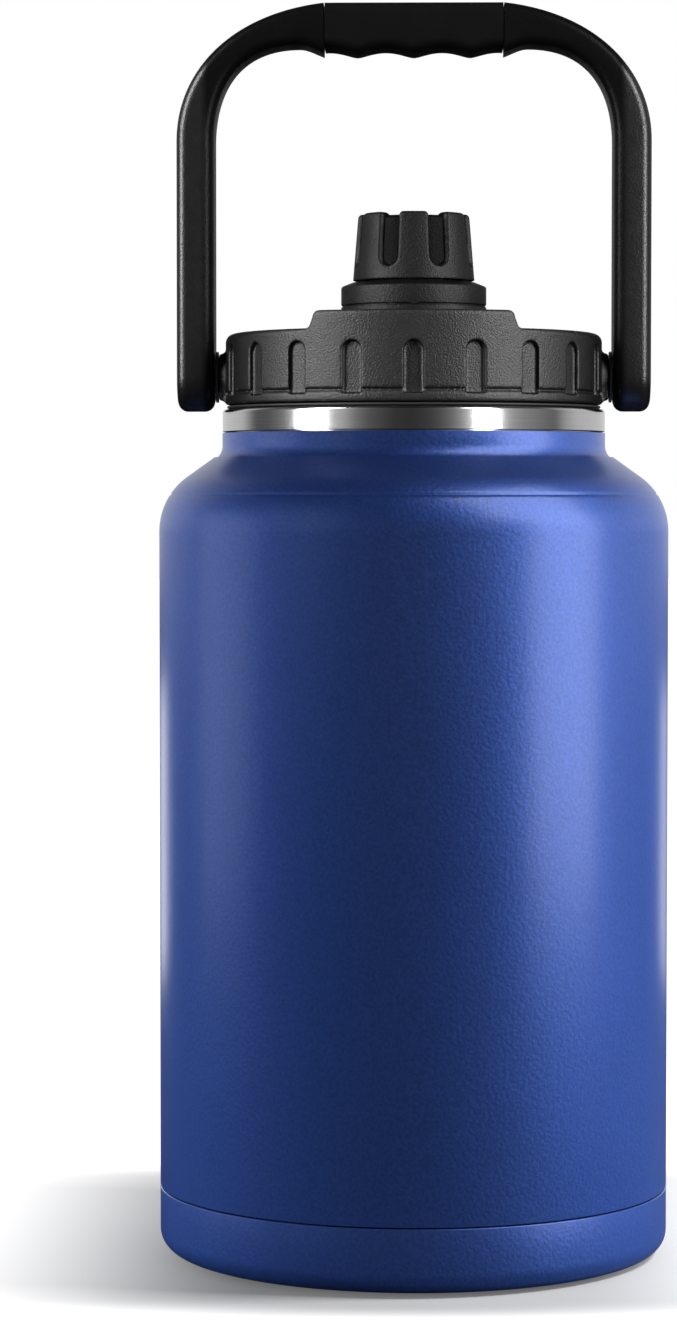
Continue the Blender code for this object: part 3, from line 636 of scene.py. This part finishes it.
def make_liner(material):
    """Inner bottle, its rolled rim and the thread bead in its mouth."""
    wall = 0.5
    floor = LINER_LOW.z
    corner = 8.0
    bend_r = LINER_R - BEND_CENTRE[0]
    mouth_outside = MOUTH_R + 0.8
    lip_under = RIM_TOP - 1.4
    lip = 1.0
    foot = 0.15
    outline = [(0.0, floor)]
    outline += arc(LINER_R - corner, floor + corner, corner, -90.0, 0.0, 10)
    outline += arc(*BEND_CENTRE, bend_r, 0.0, 60.0, 12)
    outline += [(mouth_outside, 233.7), (mouth_outside, lip_under), (RIM_R - 0.8, lip_under)]
    outline += [(RIM_R - 0.8, PAINT_TOP + 0.3)]
    outline += arc(RIM_R - foot, PAINT_TOP + 0.45, foot, -90.0, 0.0, 3)
    for z in (PAINT_TOP + 0.50, PAINT_TOP + 0.60, RIM_TOP - 1.15, RIM_TOP - 1.05):
        outline.append((RIM_R, z))
    outline += arc(RIM_R - lip, RIM_TOP - lip, lip, 0.0, 90.0, 6)
    outline += arc(MOUTH_R + lip, RIM_TOP - lip, lip, 90.0, 180.0, 6)
    outline += soften([(MOUTH_R, RIM_TOP - 1.2), (MOUTH_R, 233.4, 1.0), (MOUTH_R + 3.6, 231.6)])
    outline += arc(*BEND_CENTRE, bend_r - wall, 60.0, 0.0, 12)
    outline += arc(LINER_R - corner, floor + corner, corner - wall, 0.0, -90.0, 10)
    outline += [(0.0, floor + wall)]
    item = solid("steel_liner", spun(outline, closed=False))
    bead = thread(MOUTH_R + 0.3, 51.3, 238.6, **LID_THREAD)
    combine(item, bead, 'UNION')
    return finish_piece(item, "jug", ["inner_liner"], material)


# -------- lid
LIP_Z = LID_LOW.z
DECK_Z = 274.4
BRIDGE_Z = LID_HIGH.z
BRIDGE_HALF = 29.8
BAND_TOP = 257.2
SLOT_WIDTH = 5.8
SLOT_TOP = 270.8
SLOT_DEPTH = 1.5
SLOT_PITCH = 18.5            # degrees
SLOTS_BESIDE = 4             # slots on each side of the one in the middle
LID_CLEAR = 70.0             # outside the lid on every side


def beside_bridge(side):
    """Space beside the raised bridge, with the bridge's rounded top edge and its foot fillet."""
    outside = 64.0
    above = BRIDGE_Z + 3.0
    round_top = 2.0
    foot = 1.0
    bend = BRIDGE_HALF - 0.8 - round_top
    section = [(outside, DECK_Z)]
    section += arc(BRIDGE_HALF + foot, DECK_Z + foot, foot, 270.0, 180.0, 5)
    section += arc(bend, BRIDGE_Z - round_top, round_top, 0.0, 88.0, 8)
    section += [(bend - 0.5, BRIDGE_Z + 0.05), (bend - 0.5, above), (outside, above)]
    return skinned([[(side * x, y, z) for x, z in section] for y in (-LID_CLEAR, LID_CLEAR)])


def deck_rounding(side):
    """Cutter for the decks' outer edge, whose rounding grows from the bridge to the pivot."""
    start, sweep, steps = 28.0, 124.0, 72
    reach = LID_R + 3.0
    above = DECK_Z + 1.0
    margin, skin = 0.4, 0.02
    rings = []
    for i in range(steps + 1):
        angle = math.radians(start + sweep * i / steps) - math.pi / 2
        radius = 0.9 + 1.7 * math.cos(angle) ** 4
        inside = LID_R - radius - margin
        below = DECK_Z - radius - margin
        section = [(reach, above), (inside, above), (inside, DECK_Z + skin)]
        section += reversed(arc(LID_R - radius, DECK_Z - radius, radius, 0.0, 88.0, 8))
        section += [(LID_R + skin, below), (reach, below)]
        rings.append([(side * r * math.cos(angle), r * math.sin(angle), z) for r, z in section])
    ring = solid("deck_rounding", skinned(rings))
    inner, outer = side * (BRIDGE_HALF + 1.1), side * LID_CLEAR
    corners = ((inner, -LID_CLEAR), (outer, -LID_CLEAR), (outer, LID_CLEAR), (inner, LID_CLEAR))
    beside = skinned([[(x, y, z) for x, y in corners] for z in (DECK_Z - 9.0, DECK_Z + 9.0)])
    combine(ring, beside, 'INTERSECT')
    bm = bmesh.new()
    bm.from_mesh(ring.data)
    bpy.data.objects.remove(ring, do_unlink=True)
    return bm


def finger_slot(angle):
    """Arch-topped slot, open at the bottom into the rim band."""
    half = SLOT_WIDTH / 2
    foot = BAND_TOP - 1.6
    outline = [(half, foot)] + arc(0.0, SLOT_TOP - half, half, 0.0, 180.0, 20) + [(-half, foot)]
    bm = skinned([[(x, -depth, z) for x, z in outline] for depth in (LID_R - SLOT_DEPTH, LID_R + 3.0)])
    bmesh.ops.rotate(bm, cent=(0, 0, 0), matrix=Matrix.Rotation(angle, 3, 'Z'), verts=bm.verts)
    return bm


def pivot_boss(side):
    """Round boss on the lid's side that carries the handle."""
    inner, outer = 50.0, LID_HIGH.x
    radius = 7.0
    root = radius + 1.4
    corners = [(0.0, inner), (root, inner), (root, LID_R - 1.0, 0.3), (radius, LID_R + 1.0, 1.2)]
    corners += [(radius, outer), (0.0, outer)]
    return along_x(spun(soften(corners), TINY_ROUND, closed=False), side)


def pivot_web(side):
    """Web that carries the boss down into the rim band."""
    inner, outer = 50.0, LID_HIGH.x
    half = 6.4
    foot = 253.9
    section = [(inner, PIVOT_Z), (outer, PIVOT_Z), (outer, foot + 2.1), (LID_R, foot), (inner, foot)]
    return skinned([[(side * x, y, z) for x, z in section] for y in (-half, half)])


def make_lid(material):
    corners = [(0.0, LIP_Z), (LID_R, LIP_Z, 0.7), (LID_R, LIP_Z + 2.6, 0.6)]
    corners += [(LID_R - 1.4, BAND_TOP), (LID_R, BAND_TOP)]
    corners += [(LID_R, BRIDGE_Z, 1.0), (0.0, BRIDGE_Z)]
    item = solid("lid_cover", spun(soften(corners), closed=False))
    for side in (-1, 1):
        combine(item, beside_bridge(side))
        combine(item, deck_rounding(side))
    step = math.radians(SLOT_PITCH)
    slots = [finger_slot(face + k * step) for face in (0.0, math.pi)
             for k in range(-SLOTS_BESIDE, SLOTS_BESIDE + 1)]
    combine(item, merged(slots))
    for side in (-1, 1):
        combine(item, pivot_boss(side), 'UNION')
        combine(item, pivot_web(side), 'UNION')
    melt(item, LID_VOXEL, 4)

    wall = 2.2
    combine(item, plug_shape(LID_R - wall, LIP_Z - 3.0, DECK_Z - wall, HIDDEN_ROUND))
    sleeve_r = 14.8
    combine(item, plug_shape(sleeve_r, 265.0, 290.0, HIDDEN_ROUND))
    insert_r = 3.4
    combine(item, merged([along_x(plug_shape(insert_r, 50.3, 70.0, 32), side) for side in (-1, 1)]))
    return finish_piece(item, "lid", ["lid_shell"], material, sharp=50.0)


def make_plug(material):
    """Cup inside the lid, with a flange at its top and the thread that screws into the mouth."""
    radius = 50.3
    bore = 11.5
    inner = radius - 1.8
    flange, top = PLUG_HIGH.x, PLUG_HIGH.z
    low = PLUG_LOW.z
    floor = low + 2.2
    corners = [(bore, low, 0.3), (radius, low, 1.2), (radius, LIP_Z, 0.3), (flange, LIP_Z, 0.2)]
    corners += [(flange, top, 0.2), (inner, top, 0.2), (inner, floor), (bore, floor)]
    item = solid("threaded_plug", spun(soften(corners)))
    combine(item, thread(radius - 0.3, 52.4, 236.6, **LID_THREAD), 'UNION')
    return finish_piece(item, "lid", ["lid_plug"], material)


def make_lid_gasket(material):
    low, high = GASKET_LOW.z, GASKET_HIGH.z
    inner, outer = 50.7, GASKET_HIGH.x
    corners = [(inner, low, 0.15), (outer, low, 0.3), (outer, high, 0.3), (inner, high, 0.15)]
    item = solid("lid_seal_ring", spun(soften(corners)))
    return finish_piece(item, "lid_seal", ["lid_gasket"], material)


# -------- spout and cap
def make_spout(material):
    """Collar on the bridge with a parting line, and the threaded drinking tube with its sleeve."""
    collar = SPOUT_HIGH.x
    low, top = SPOUT_LOW.z, SPOUT_HIGH.z
    line = 282.8
    under = line + 3.0
    collar_foot = BRIDGE_Z + 0.05
    collar_top = 289.7
    tube, mouth = 11.3, 9.5
    bore, sleeve, skirt = 11.8, 14.5, 19.0
    corners = [(bore, low, 0.3), (sleeve, low, 0.3), (sleeve, under), (skirt, under)]
    corners += [(skirt, collar_foot), (collar + 0.6, collar_foot), (collar, BRIDGE_Z + 0.7, 0.4)]
    corners += [(collar, line - 0.5, 0.2), (collar - 0.5, line - 0.1, 0.1), (collar, line + 0.3, 0.25)]
    corners += [(collar, collar_top - 1.3, 0.8)]
    corners += [(18.4, collar_top, 0.4), (tube, collar_top, 0.3), (tube, top, 0.7), (mouth, top, 0.7)]
    corners += [(mouth, 288.0, 1.0), (bore, 284.0, 1.0)]
    bm = spun(soften(corners), SMALL_ROUND)
    deepest_step = 0.45
    for vert in bm.verts:
        reach = math.hypot(vert.co.x, vert.co.y)
        if reach > collar - 0.6 and vert.co.z < line - 0.2:
            step_in = deepest_step * (vert.co.y / reach) ** 2
            vert.co.x *= 1.0 - step_in / reach
            vert.co.y *= 1.0 - step_in / reach
    item = solid("spout_and_collar", bm)
    ridge = thread(tube - 0.3, 12.3, 293.2, **CAP_THREAD)
    combine(item, ridge, 'UNION')
    return finish_piece(item, "lid", ["spout"], material)


FLUTES = 7
FLUTE_END_Z = 297.15         # centre of each flute's rounded lower end
FLUTE_DEPTH = 1.55


def cap_side(z):
    """Radius of the cap's tapering side."""
    return CAP_HIGH.x - CAP_DRAFT * (z - CAP_LOW.z) / CAP_HEIGHT


def cap_path(inset, top):
    """Outside of the cap from its foot to the axis, for a side pressed in and a rim at a height."""
    foot = CAP_LOW.z
    chamfer = 0.3
    edge = 1.4
    side_top = top - edge
    side_foot = foot + chamfer
    step = top - CAP_DISC_Z
    points = [(cap_side(foot) - chamfer, foot), (cap_side(foot) - 0.09, foot + 0.09)]
    points += [(cap_side(foot), side_foot)]
    rows = 46
    for i in range(1, rows + 1):
        z = side_foot + (side_top - foot - chamfer) * i / rows
        points.append((cap_side(z) - inset, z))
    rim = cap_side(side_top) - inset - edge
    points += arc(rim, side_top, edge, 0.0, 90.0, 8)[1:]
    points += [(min(rim, 13.6), top), (12.9, top), (12.4, top - 0.1 * step)]
    points += [(11.9, (top + CAP_DISC_Z) / 2), (11.4, CAP_DISC_Z + 0.1 * step)]
    points += [(r, CAP_DISC_Z) for r in (10.9, 8.0, 5.0, 2.0)]
    return points


def flute_share(angle, r, z):
    """1 on the floor of a flute, 0 on the panels, with the panels' edges rounded over."""
    pitch = math.tau / FLUTES
    across = abs((angle / pitch) % 1.0 - 0.5) * pitch * r
    below = min(z - FLUTE_END_Z, 0.0)
    distance = math.hypot(across, below)
    floor, rim = 2.65, 3.85
    if distance <= floor:
        return 1.0
    if distance >= rim:
        return 0.0
    return 1.0 - math.sqrt(1.0 - ((rim - distance) / (rim - floor)) ** 2)


def make_cap(material):
    """Cap with seven raised grip panels, whose ends stand round a sunken disc in the top."""
    panel = cap_path(0.0, CAP_HIGH.z)
    floor = cap_path(FLUTE_DEPTH, CAP_DISC_Z)
    columns = FLUTES * 64
    angles = [math.tau * i / columns for i in range(columns)]

    def ring(r, z):
        return [(r * math.sin(a), -r * math.cos(a), z) for a in angles]

    void_r, void_top = 14.3, 307.9
    rings = [ring(void_r, void_top), ring(void_r, CAP_LOW.z + 0.3), ring(void_r + 0.3, CAP_LOW.z)]
    for (panel_r, panel_z), (floor_r, floor_z) in zip(panel, floor):
        points = []
        for angle in angles:
            share = flute_share(angle, max(panel_r, 14.0), panel_z)
            r = panel_r + (floor_r - panel_r) * share
            z = panel_z + (floor_z - panel_z) * share
            points.append((r * math.sin(angle), -r * math.cos(angle), z))
        rings.append(points)
    item = solid("fluted_cap", skinned(rings))
    return finish_piece(item, "cap", ["cap_shell"], material)


def make_cap_liner(material):
    low, high = box_mm("cap_liner")
    inner, ceiling = 13.0, 305.9
    corners = [(inner, low.z, 0.2), (high.x, low.z, 0.2), (high.x, high.z), (0.0, high.z)]
    corners += [(0.0, ceiling), (inner, ceiling)]
    item = solid("cap_thread_sleeve", spun(soften(corners), SMALL_ROUND))
    ridge = thread(inner + 0.3, 11.9, 291.95, first=21, **CAP_THREAD)
    combine(item, ridge, 'UNION')
    return finish_piece(item, "cap", ["cap_liner"], material)


# -------- pivots
def make_pivot(side, label, washer_material, cover_material):
    """Washer between boss and leg, and the round cover over the screw in the leg's outer face."""
    inner, outer = WASHER_LOW.x, WASHER_HIGH.x
    radius, bore = WASHER_HIGH.y, 3.3
    ring = soften([(bore, inner), (radius, inner, 0.2), (radius, outer, 0.2), (bore, outer)])
    item = solid(f"handle_washer_{label}", along_x(spun(ring, TINY_ROUND), side))
    finish_piece(item, "lid", [f"pivot_washer_{label}"], washer_material)
    inner, outer = COVER_LOW.x, COVER_HIGH.x
    radius, dimple, dimple_floor = COVER_HIGH.y, 1.6, COVER_HIGH.x - 0.35
    disc = [(0.0, inner), (radius, inner), (radius, outer, 0.35), (dimple, outer)]
    disc += [(dimple - 0.3, dimple_floor, 0.2), (0.0, dimple_floor)]
    item = solid(f"screw_cover_{label}", along_x(spun(soften(disc), TINY_ROUND, closed=False), side))
    finish_piece(item, "handle", [f"pivot_cover_{label}"], cover_material)


# -------- handle
SECTION_R = 3.0              # rounding of the handle's long edges
BEND_Z = 331.3               # where the legs start to bend
CROWN = (34.0, 359.7)        # inside of the handle where the bend meets the top bar


def bezier(points, t):
    """Point at t, from 0 to 1, on a cubic curve."""
    a, b, c, d = (Vector(p) for p in points)
    s = 1.0 - t
    return a * s ** 3 + b * (3 * s * s * t) + c * (3 * s * t * t) + d * t ** 3


def handle_section(inner, outer, half_width, side, radius=SECTION_R, steps=7):
    """Rounded rectangle across the handle, between a point on its inside and one on its outside."""
    inner, outer = Vector(inner), Vector(outer)
    centre = (inner + outer) / 2
    across = (outer - inner).normalized()
    half_thick = (outer - inner).length / 2
    radius = min(radius, 0.98 * half_thick, 0.98 * half_width)
    ring = []
    for quarter, (u, v) in enumerate(((1, 1), (-1, 1), (-1, -1), (1, -1))):
        corner = arc(u * (half_thick - radius), v * (half_width - radius), radius,
                     90 * quarter, 90 * quarter + 90, steps)
        for offset, width in corner:
            point = centre + across * offset
            ring.append((side * point.x, width, point.y))
    return ring


def leg_end(depth, side, steps=7):
    """Level slice through the leg's round end, whose edge is rounded all the way round."""
    thick = (LEG_OUT - LEG_IN) / 2
    middle = (LEG_OUT + LEG_IN) / 2
    core = LEG_HALF - SECTION_R
    last = 90.0
    if depth > core:
        last = math.degrees(math.acos(min(1.0, (depth - core) / SECTION_R)))
    quarter = []
    for k in range(steps + 1):
        angle = math.radians(last * k / steps)
        rho = core + SECTION_R * math.cos(angle)
        width = math.sqrt(max(rho * rho - depth * depth, 0.0))
        quarter.append((thick - SECTION_R + SECTION_R * math.sin(angle), width))
    points = [(x, y) for x, y in reversed(quarter)]
    points += [(-x, y) for x, y in quarter]
    points += [(-x, -y) for x, y in reversed(quarter)]
    points += [(x, -y) for x, y in quarter]
    return [(side * (middle + x), y, PIVOT_Z - depth) for x, y in points]


def handle_half(side):
    """Slices from the leg's end up the leg, round the bend and on to the grip."""
    rings = []
    for turn in (90, 84, 77, 69, 61, 53, 45, 36, 27, 18, 9):
        rings.append(leg_end(LEG_HALF * math.sin(math.radians(turn)), side))
    for z in (PIVOT_Z, PIVOT_Z + 8.0, PIVOT_Z + 30.0, BEND_Z - 20.0):
        rings.append(handle_section((LEG_IN, z), (LEG_OUT, z), LEG_HALF, side))
    end_x = GRIP_HIGH.x + 0.3
    top = FRAME_HIGH.z
    outer_curve = ((LEG_OUT, BEND_Z), (LEG_OUT, BEND_Z + 20.8), (54.1, 368.8), (end_x, top))
    inner_curve = ((LEG_IN, BEND_Z), (LEG_IN, BEND_Z + 14.0), (53.6, CROWN[1]), CROWN)
    dip = (CROWN, (31.6, CROWN[1]), (29.4, 358.3), (end_x, 357.3))
    steps, dip_steps = 34, 8
    share = 0.93
    for i in range(steps + 1):
        t = i / steps
        inner, outer = bezier(inner_curve, t), bezier(outer_curve, share * t)
        rings.append(handle_section(inner, outer, LEG_HALF, side))
    for i in range(1, dip_steps + 1):
        t = i / dip_steps
        inner, outer = bezier(dip, t), bezier(outer_curve, share + (1.0 - share) * t)
        rings.append(handle_section(inner, outer, LEG_HALF, side))
    core_low, core_high, core_half = 361.4, 368.4, 6.5
    rings.append(handle_section((end_x, core_low), (end_x, core_high), core_half, side))
    return rings


def make_handle(material):
    """Legs, bends and the core of the top bar, bored and counterbored for the pivot screws."""
    rings = handle_half(1) + list(reversed(handle_half(-1)))
    item = solid("handle_frame_moulding", skinned(rings))
    hole, counterbore, ledge = 3.3, 5.9, 66.2
    start, end = 57.0, 72.0
    bore = [(0.0, start), (hole, start), (hole, ledge), (counterbore, ledge), (counterbore, end), (0.0, end)]
    combine(item, merged([along_x(spun(bore, TINY_ROUND, closed=False), side) for side in (-1, 1)]))
    return finish_piece(item, "handle", ["handle_frame"], material)


def grip_underside(x):
    """Three wide finger hollows between four narrow bumps."""
    half = 8.4
    tip = 1.1
    bump, hollow = 357.2, 358.7
    away = abs((abs(x) + half) % (2 * half) - half)
    away = math.hypot(away, tip) - tip
    return hollow + (bump - hollow) * (1.0 - math.sin(math.pi / 2 * min(away / (half - tip), 1.0)))


def make_grip(material):
    """Sleeve round the top bar, hollow for the handle's core."""
    half = GRIP_HIGH.x
    core_low, core_high, core_half = 361.1, 368.7, 6.8
    stations = 110
    rings = []
    for i in range(stations + 1):
        x = -half + 2 * half * i / stations
        rings.append(handle_section((x, grip_underside(x)), (x, GRIP_HIGH.z), LEG_HALF, 1))
    for x in (half, -half):
        rings.append(handle_section((x, core_low), (x, core_high), core_half, 1))
    item = solid("finger_grip", skinned(rings, capped=False))
    return finish_piece(item, "handle", ["handle_grip"], material)


# -------- hidden CAD parts that stay
def paint_cad(materials):
    """Give new materials to CAD nodes whose shape stays, inside the jug and the lid."""
    for node, material in materials.items():
        item = frame["nodes"][node]
        item.data.materials.clear()
        item.data.materials.append(material)


# -------- studio
FLOOR_GLOW = 0.12            # how much the floor glows of itself where the shadow falls
# grey that every ray but the camera's sees: painted shade in what the floor bounces and reflects onto the
# jug
FLOOR_DULL = (0.12, 0.12, 0.12, 1.0)
SHADOW_STRIP = (0.02, 0.095)         # middle and half depth in y of the strip that keeps its shadow
SHADOW_FADE = (0.042, 0.156)         # how far from the strip's middle the glow starts and is full


def floor_paint():
    """White to the camera, with a painted glow that fades up to pure white round the shadow's strip, and
    dull to other rays.
    """
    white = (0.90, 0.90, 0.90)
    finish = Finish("floor_paint", white, 0.80, specular=0.1)
    finish.tint(finish.noise(3.0, 2.0), (0.88, 0.88, 0.88), white)
    x, y = finish.axes()[:2]
    middle, half_depth = SHADOW_STRIP
    squeeze = 4.0
    depth = y
    for operation, *amount in (('SUBTRACT', middle), ('ABSOLUTE',), ('SUBTRACT', half_depth),
                               ('MULTIPLY', squeeze), ('MAXIMUM', 0.0)):
        depth = math_node(finish.tree, operation, depth, *amount)
    away = finish.distance(x, depth)
    # painted light: the floor glows of itself, faintly over the shadow's strip and in full away from it
    finish.surface.inputs["Emission Color"].default_value = (1.0, 1.0, 1.0, 1.0)
    finish.link(finish.fade(away, *SHADOW_FADE, FLOOR_GLOW, 1.0), finish.surface.inputs["Emission Strength"])
    # dark copy of the floor for every ray but the camera's: painted shade in the jug's reflections of the
    # floor
    dull = finish.node("ShaderNodeBsdfDiffuse")
    dull.inputs["Color"].default_value = FLOOR_DULL
    seen = finish.node("ShaderNodeLightPath")
    mix = finish.node("ShaderNodeMixShader")
    output = next(node for node in finish.tree.nodes if node.type == 'OUTPUT_MATERIAL')
    finish.link(seen.outputs["Is Camera Ray"], mix.inputs[0])
    finish.link(dull.outputs[0], mix.inputs[1])
    finish.link(finish.surface.outputs[0], mix.inputs[2])
    finish.link(mix.outputs[0], output.inputs["Surface"])
    return finish.material


def make_floor():
    bm = bmesh.new()
    bmesh.ops.create_circle(bm, cap_ends=True, radius=9.0, segments=96)
    mesh = bpy.data.meshes.new("floor")
    bm.to_mesh(mesh)
    bm.free()
    item = bpy.data.objects.new("floor", mesh)
    bpy.context.scene.collection.objects.link(item)
    mesh.materials.append(floor_paint())
    return item


def area_light(name, position, target, size, power):
    data = bpy.data.lights.new(name, 'AREA')
    data.shape = 'RECTANGLE'
    data.size, data.size_y = size
    data.energy = power
    item = bpy.data.objects.new(name, data)
    item.location = position
    item.rotation_euler = (Vector(target) - Vector(position)).to_track_quat('-Z', 'Y').to_euler()
    bpy.context.scene.collection.objects.link(item)
    return item


# compass direction in degrees (0 is the front, 90 the right) and how bright the studio is there
STUDIO_LEVELS = (
    (-180, 0.75), (-135, 0.72), (-124, 0.68), (-117, 0.38), (-110, 0.12), (-98, 0.11), (-80, 0.22),
    (-52, 0.55), (-42, 0.55), (-36, 0.28), (-27, 0.13), (-12, 0.05), (0, 0.04), (12, 0.07), (22, 0.18),
    (32, 0.42), (38, 0.45), (58, 0.44), (76, 0.30), (94, 0.17), (102, 0.48), (115, 0.70), (135, 0.72),
    (180, 0.75),
)


def make_world():
    """Studio round the jug as light by compass direction: dark at the front, pale at the back.

    It is darker high up. The camera itself sees white.
    """
    world = bpy.data.worlds.new("studio")
    world.use_nodes = True
    bpy.context.scene.world = world
    tree = world.node_tree
    background = tree.nodes["Background"]
    where = tree.nodes.new("ShaderNodeTexCoord")
    split = tree.nodes.new("ShaderNodeSeparateXYZ")
    tree.links.new(where.outputs["Generated"], split.inputs["Vector"])

    front = math_node(tree, 'MULTIPLY', split.outputs["Y"], -1.0)
    azimuth = math_node(tree, 'ARCTAN2', split.outputs["X"], front)
    turn = math_node(tree, 'MULTIPLY_ADD', azimuth, 1.0 / math.tau, 0.5)
    ramp = tree.nodes.new("ShaderNodeValToRGB")
    tree.links.new(turn, ramp.inputs["Fac"])
    stops = ramp.color_ramp.elements
    while len(stops) > 1:
        stops.remove(stops[-1])
    for i, (degrees, grey) in enumerate(STUDIO_LEVELS):
        place = 0.5 + degrees / 360.0
        stop = stops[0] if i == 0 else stops.new(place)
        stop.position = place
        stop.color = (grey, grey, grey, 1.0)
    height = tree.nodes.new("ShaderNodeMapRange")
    height.interpolation_type = 'SMOOTHSTEP'
    height.inputs["From Min"].default_value = 0.35
    height.inputs["From Max"].default_value = 0.80
    height.inputs["To Min"].default_value = 1.0
    height.inputs["To Max"].default_value = 0.12
    tree.links.new(split.outputs["Z"], height.inputs["Value"])
    level = math_node(tree, 'MULTIPLY', ramp.outputs["Color"], height.outputs["Result"])
    seen = tree.nodes.new("ShaderNodeLightPath")
    shown = math_node(tree, 'MAXIMUM', level, seen.outputs["Is Camera Ray"])
    tree.links.new(shown, background.inputs["Color"])


def around(degrees, distance, height):
    """Place at a compass direction round the jug: 0 is the front, 90 the right."""
    angle = math.radians(degrees)
    return (distance * math.sin(angle), -distance * math.cos(angle), height)


def make_lights(groups):
    """Softboxes for the plastic, the steel with the handle, and the paint, and one for the floor's shadow.

    A softbox reaches one group of pieces. The paint's fills give soft colour only, and its other lights
    give gloss only. Only the jug's own pieces shade the paint from its lights, and none of that light
    is passed on to them.
    """
    linked = {}
    for name, members in groups.items():
        linked[name] = bpy.data.collections.new(name)
        for member in members:
            linked[name].objects.link(member)
    top = (0.0, 0.0, 0.30)
    low = (0.0, 0.0, 0.14)
    both, soft, gloss = (True, True), (True, False), (False, True)
    for name, place, target, size, power, group, (diffuse, glossy) in (
            ("plastic_left", around(-64.0, 1.2, 0.70), top, (0.44, 1.30), 25.0, "plastic", both),
            ("plastic_right", around(59.0, 1.2, 0.70), top, (0.44, 1.30), 24.0, "plastic", both),
            ("bright_left", around(-62.5, 1.2, 0.70), top, (0.40, 1.30), 21.0, "bright", both),
            ("bright_right", around(43.5, 1.2, 0.70), top, (0.27, 1.30), 16.0, "bright", both),
            ("paint_highlight", around(67.0, 0.6, 0.215), low, (0.38, 0.42), 2.2, "painted", gloss),
            ("paint_low_gloss", around(-88.0, 0.6, 0.215), low, (0.34, 0.42), 0.4, "painted", gloss),
            ("paint_top_gloss", around(60.0, 0.7, 0.85), top, (0.80, 0.80), 9.0, "painted", gloss),
            ("paint_fill_right", around(97.0, 0.8, 0.10), low, (0.60, 0.60), 10.0, "painted", soft),
            ("paint_fill_left", around(-100.0, 0.8, 0.14), low, (0.60, 0.60), 6.4, "painted", soft),
            ("paint_fill_front", around(-5.0, 0.9, 0.14), low, (0.60, 0.60), 1.1, "painted", soft),
            ("paint_rim_left", around(-148.0, 0.6, 0.02), low, (0.16, 0.24), 0.22, "painted", gloss),
            ("paint_rim_right", around(148.0, 0.6, 0.02), low, (0.16, 0.24), 0.15, "painted", gloss),
            ("floor_key", around(80.0, 0.45, 0.55), low, (0.16, 0.16), 2.6, "floor", both)):
        light = area_light(name, place, target, size, power)
        light.light_linking.receiver_collection = linked[group]
        if group == "painted":
            light.light_linking.blocker_collection = linked["pieces"]
            light.data.cycles.max_bounces = 0
        light.visible_camera = False
        light.visible_diffuse = diffuse
        light.visible_glossy = glossy


def make_camera():
    """Long lens at the shoulder's height, a little left of the jug's axis, looking slightly down."""
    distance = 1.1535
    height = 0.2274
    pitch_down = math.radians(2.51)
    turn_left = math.radians(1.115)
    data = bpy.data.cameras.new("camera")
    data.sensor_width = 36.0
    data.lens = 104.9
    item = bpy.data.objects.new("camera", data)
    item.location = (0.0, -distance, height)
    item.rotation_euler = (math.radians(90.0) - pitch_down, 0.0, turn_left)
    bpy.context.scene.collection.objects.link(item)
    bpy.context.scene.camera = item
    bpy.context.scene.view_settings.view_transform = 'Standard'


# -------- build
def build():
    paint = powder_coat()
    steel = brushed_steel()
    lid_plastic = pebbled_plastic()
    handle_plastic = satin_plastic()
    plug = plug_plastic()
    seal = silicone()
    screw_brass = brass()
    washer = nylon()

    make_shell(paint)
    make_base_cup(paint)
    make_base_pad(pad_rubber())
    make_liner(steel)
    make_lid_gasket(seal)
    make_lid(lid_plastic)
    make_plug(plug)
    spout_plastic = cap_plastic()
    make_spout(spout_plastic)
    make_cap(spout_plastic)
    make_cap_liner(plug)
    for side, label in ((-1, "left"), (1, "right")):
        make_pivot(side, label, washer, handle_plastic)
    make_handle(handle_plastic)
    make_grip(soft_grip())
    paint_cad({
        "vacuum_seal_bead": steel,
        "getter_capsule": getter_metal(),
        "lid_insulation": foam(),
        "spout_gasket": seal,
        "cap_gasket": seal,
        "pivot_insert_left": screw_brass,
        "pivot_insert_right": screw_brass,
        "pivot_screw_left": steel,
        "pivot_screw_right": steel,
    })
    floor = make_floor()
    make_world()
    pieces = [item for item in bpy.context.scene.objects if item.type == 'MESH' and item is not floor]
    painted = [item for item in pieces if paint.name in item.data.materials]
    bright = [item for item in pieces
              if steel.name in item.data.materials or handle_plastic.name in item.data.materials]
    plastic = [item for item in pieces if item not in painted and item not in bright]
    make_lights({
        "painted": painted,
        "bright": bright,
        "plastic": plastic,
        "floor": [floor],
        "pieces": pieces,
    })
    make_camera()


build()
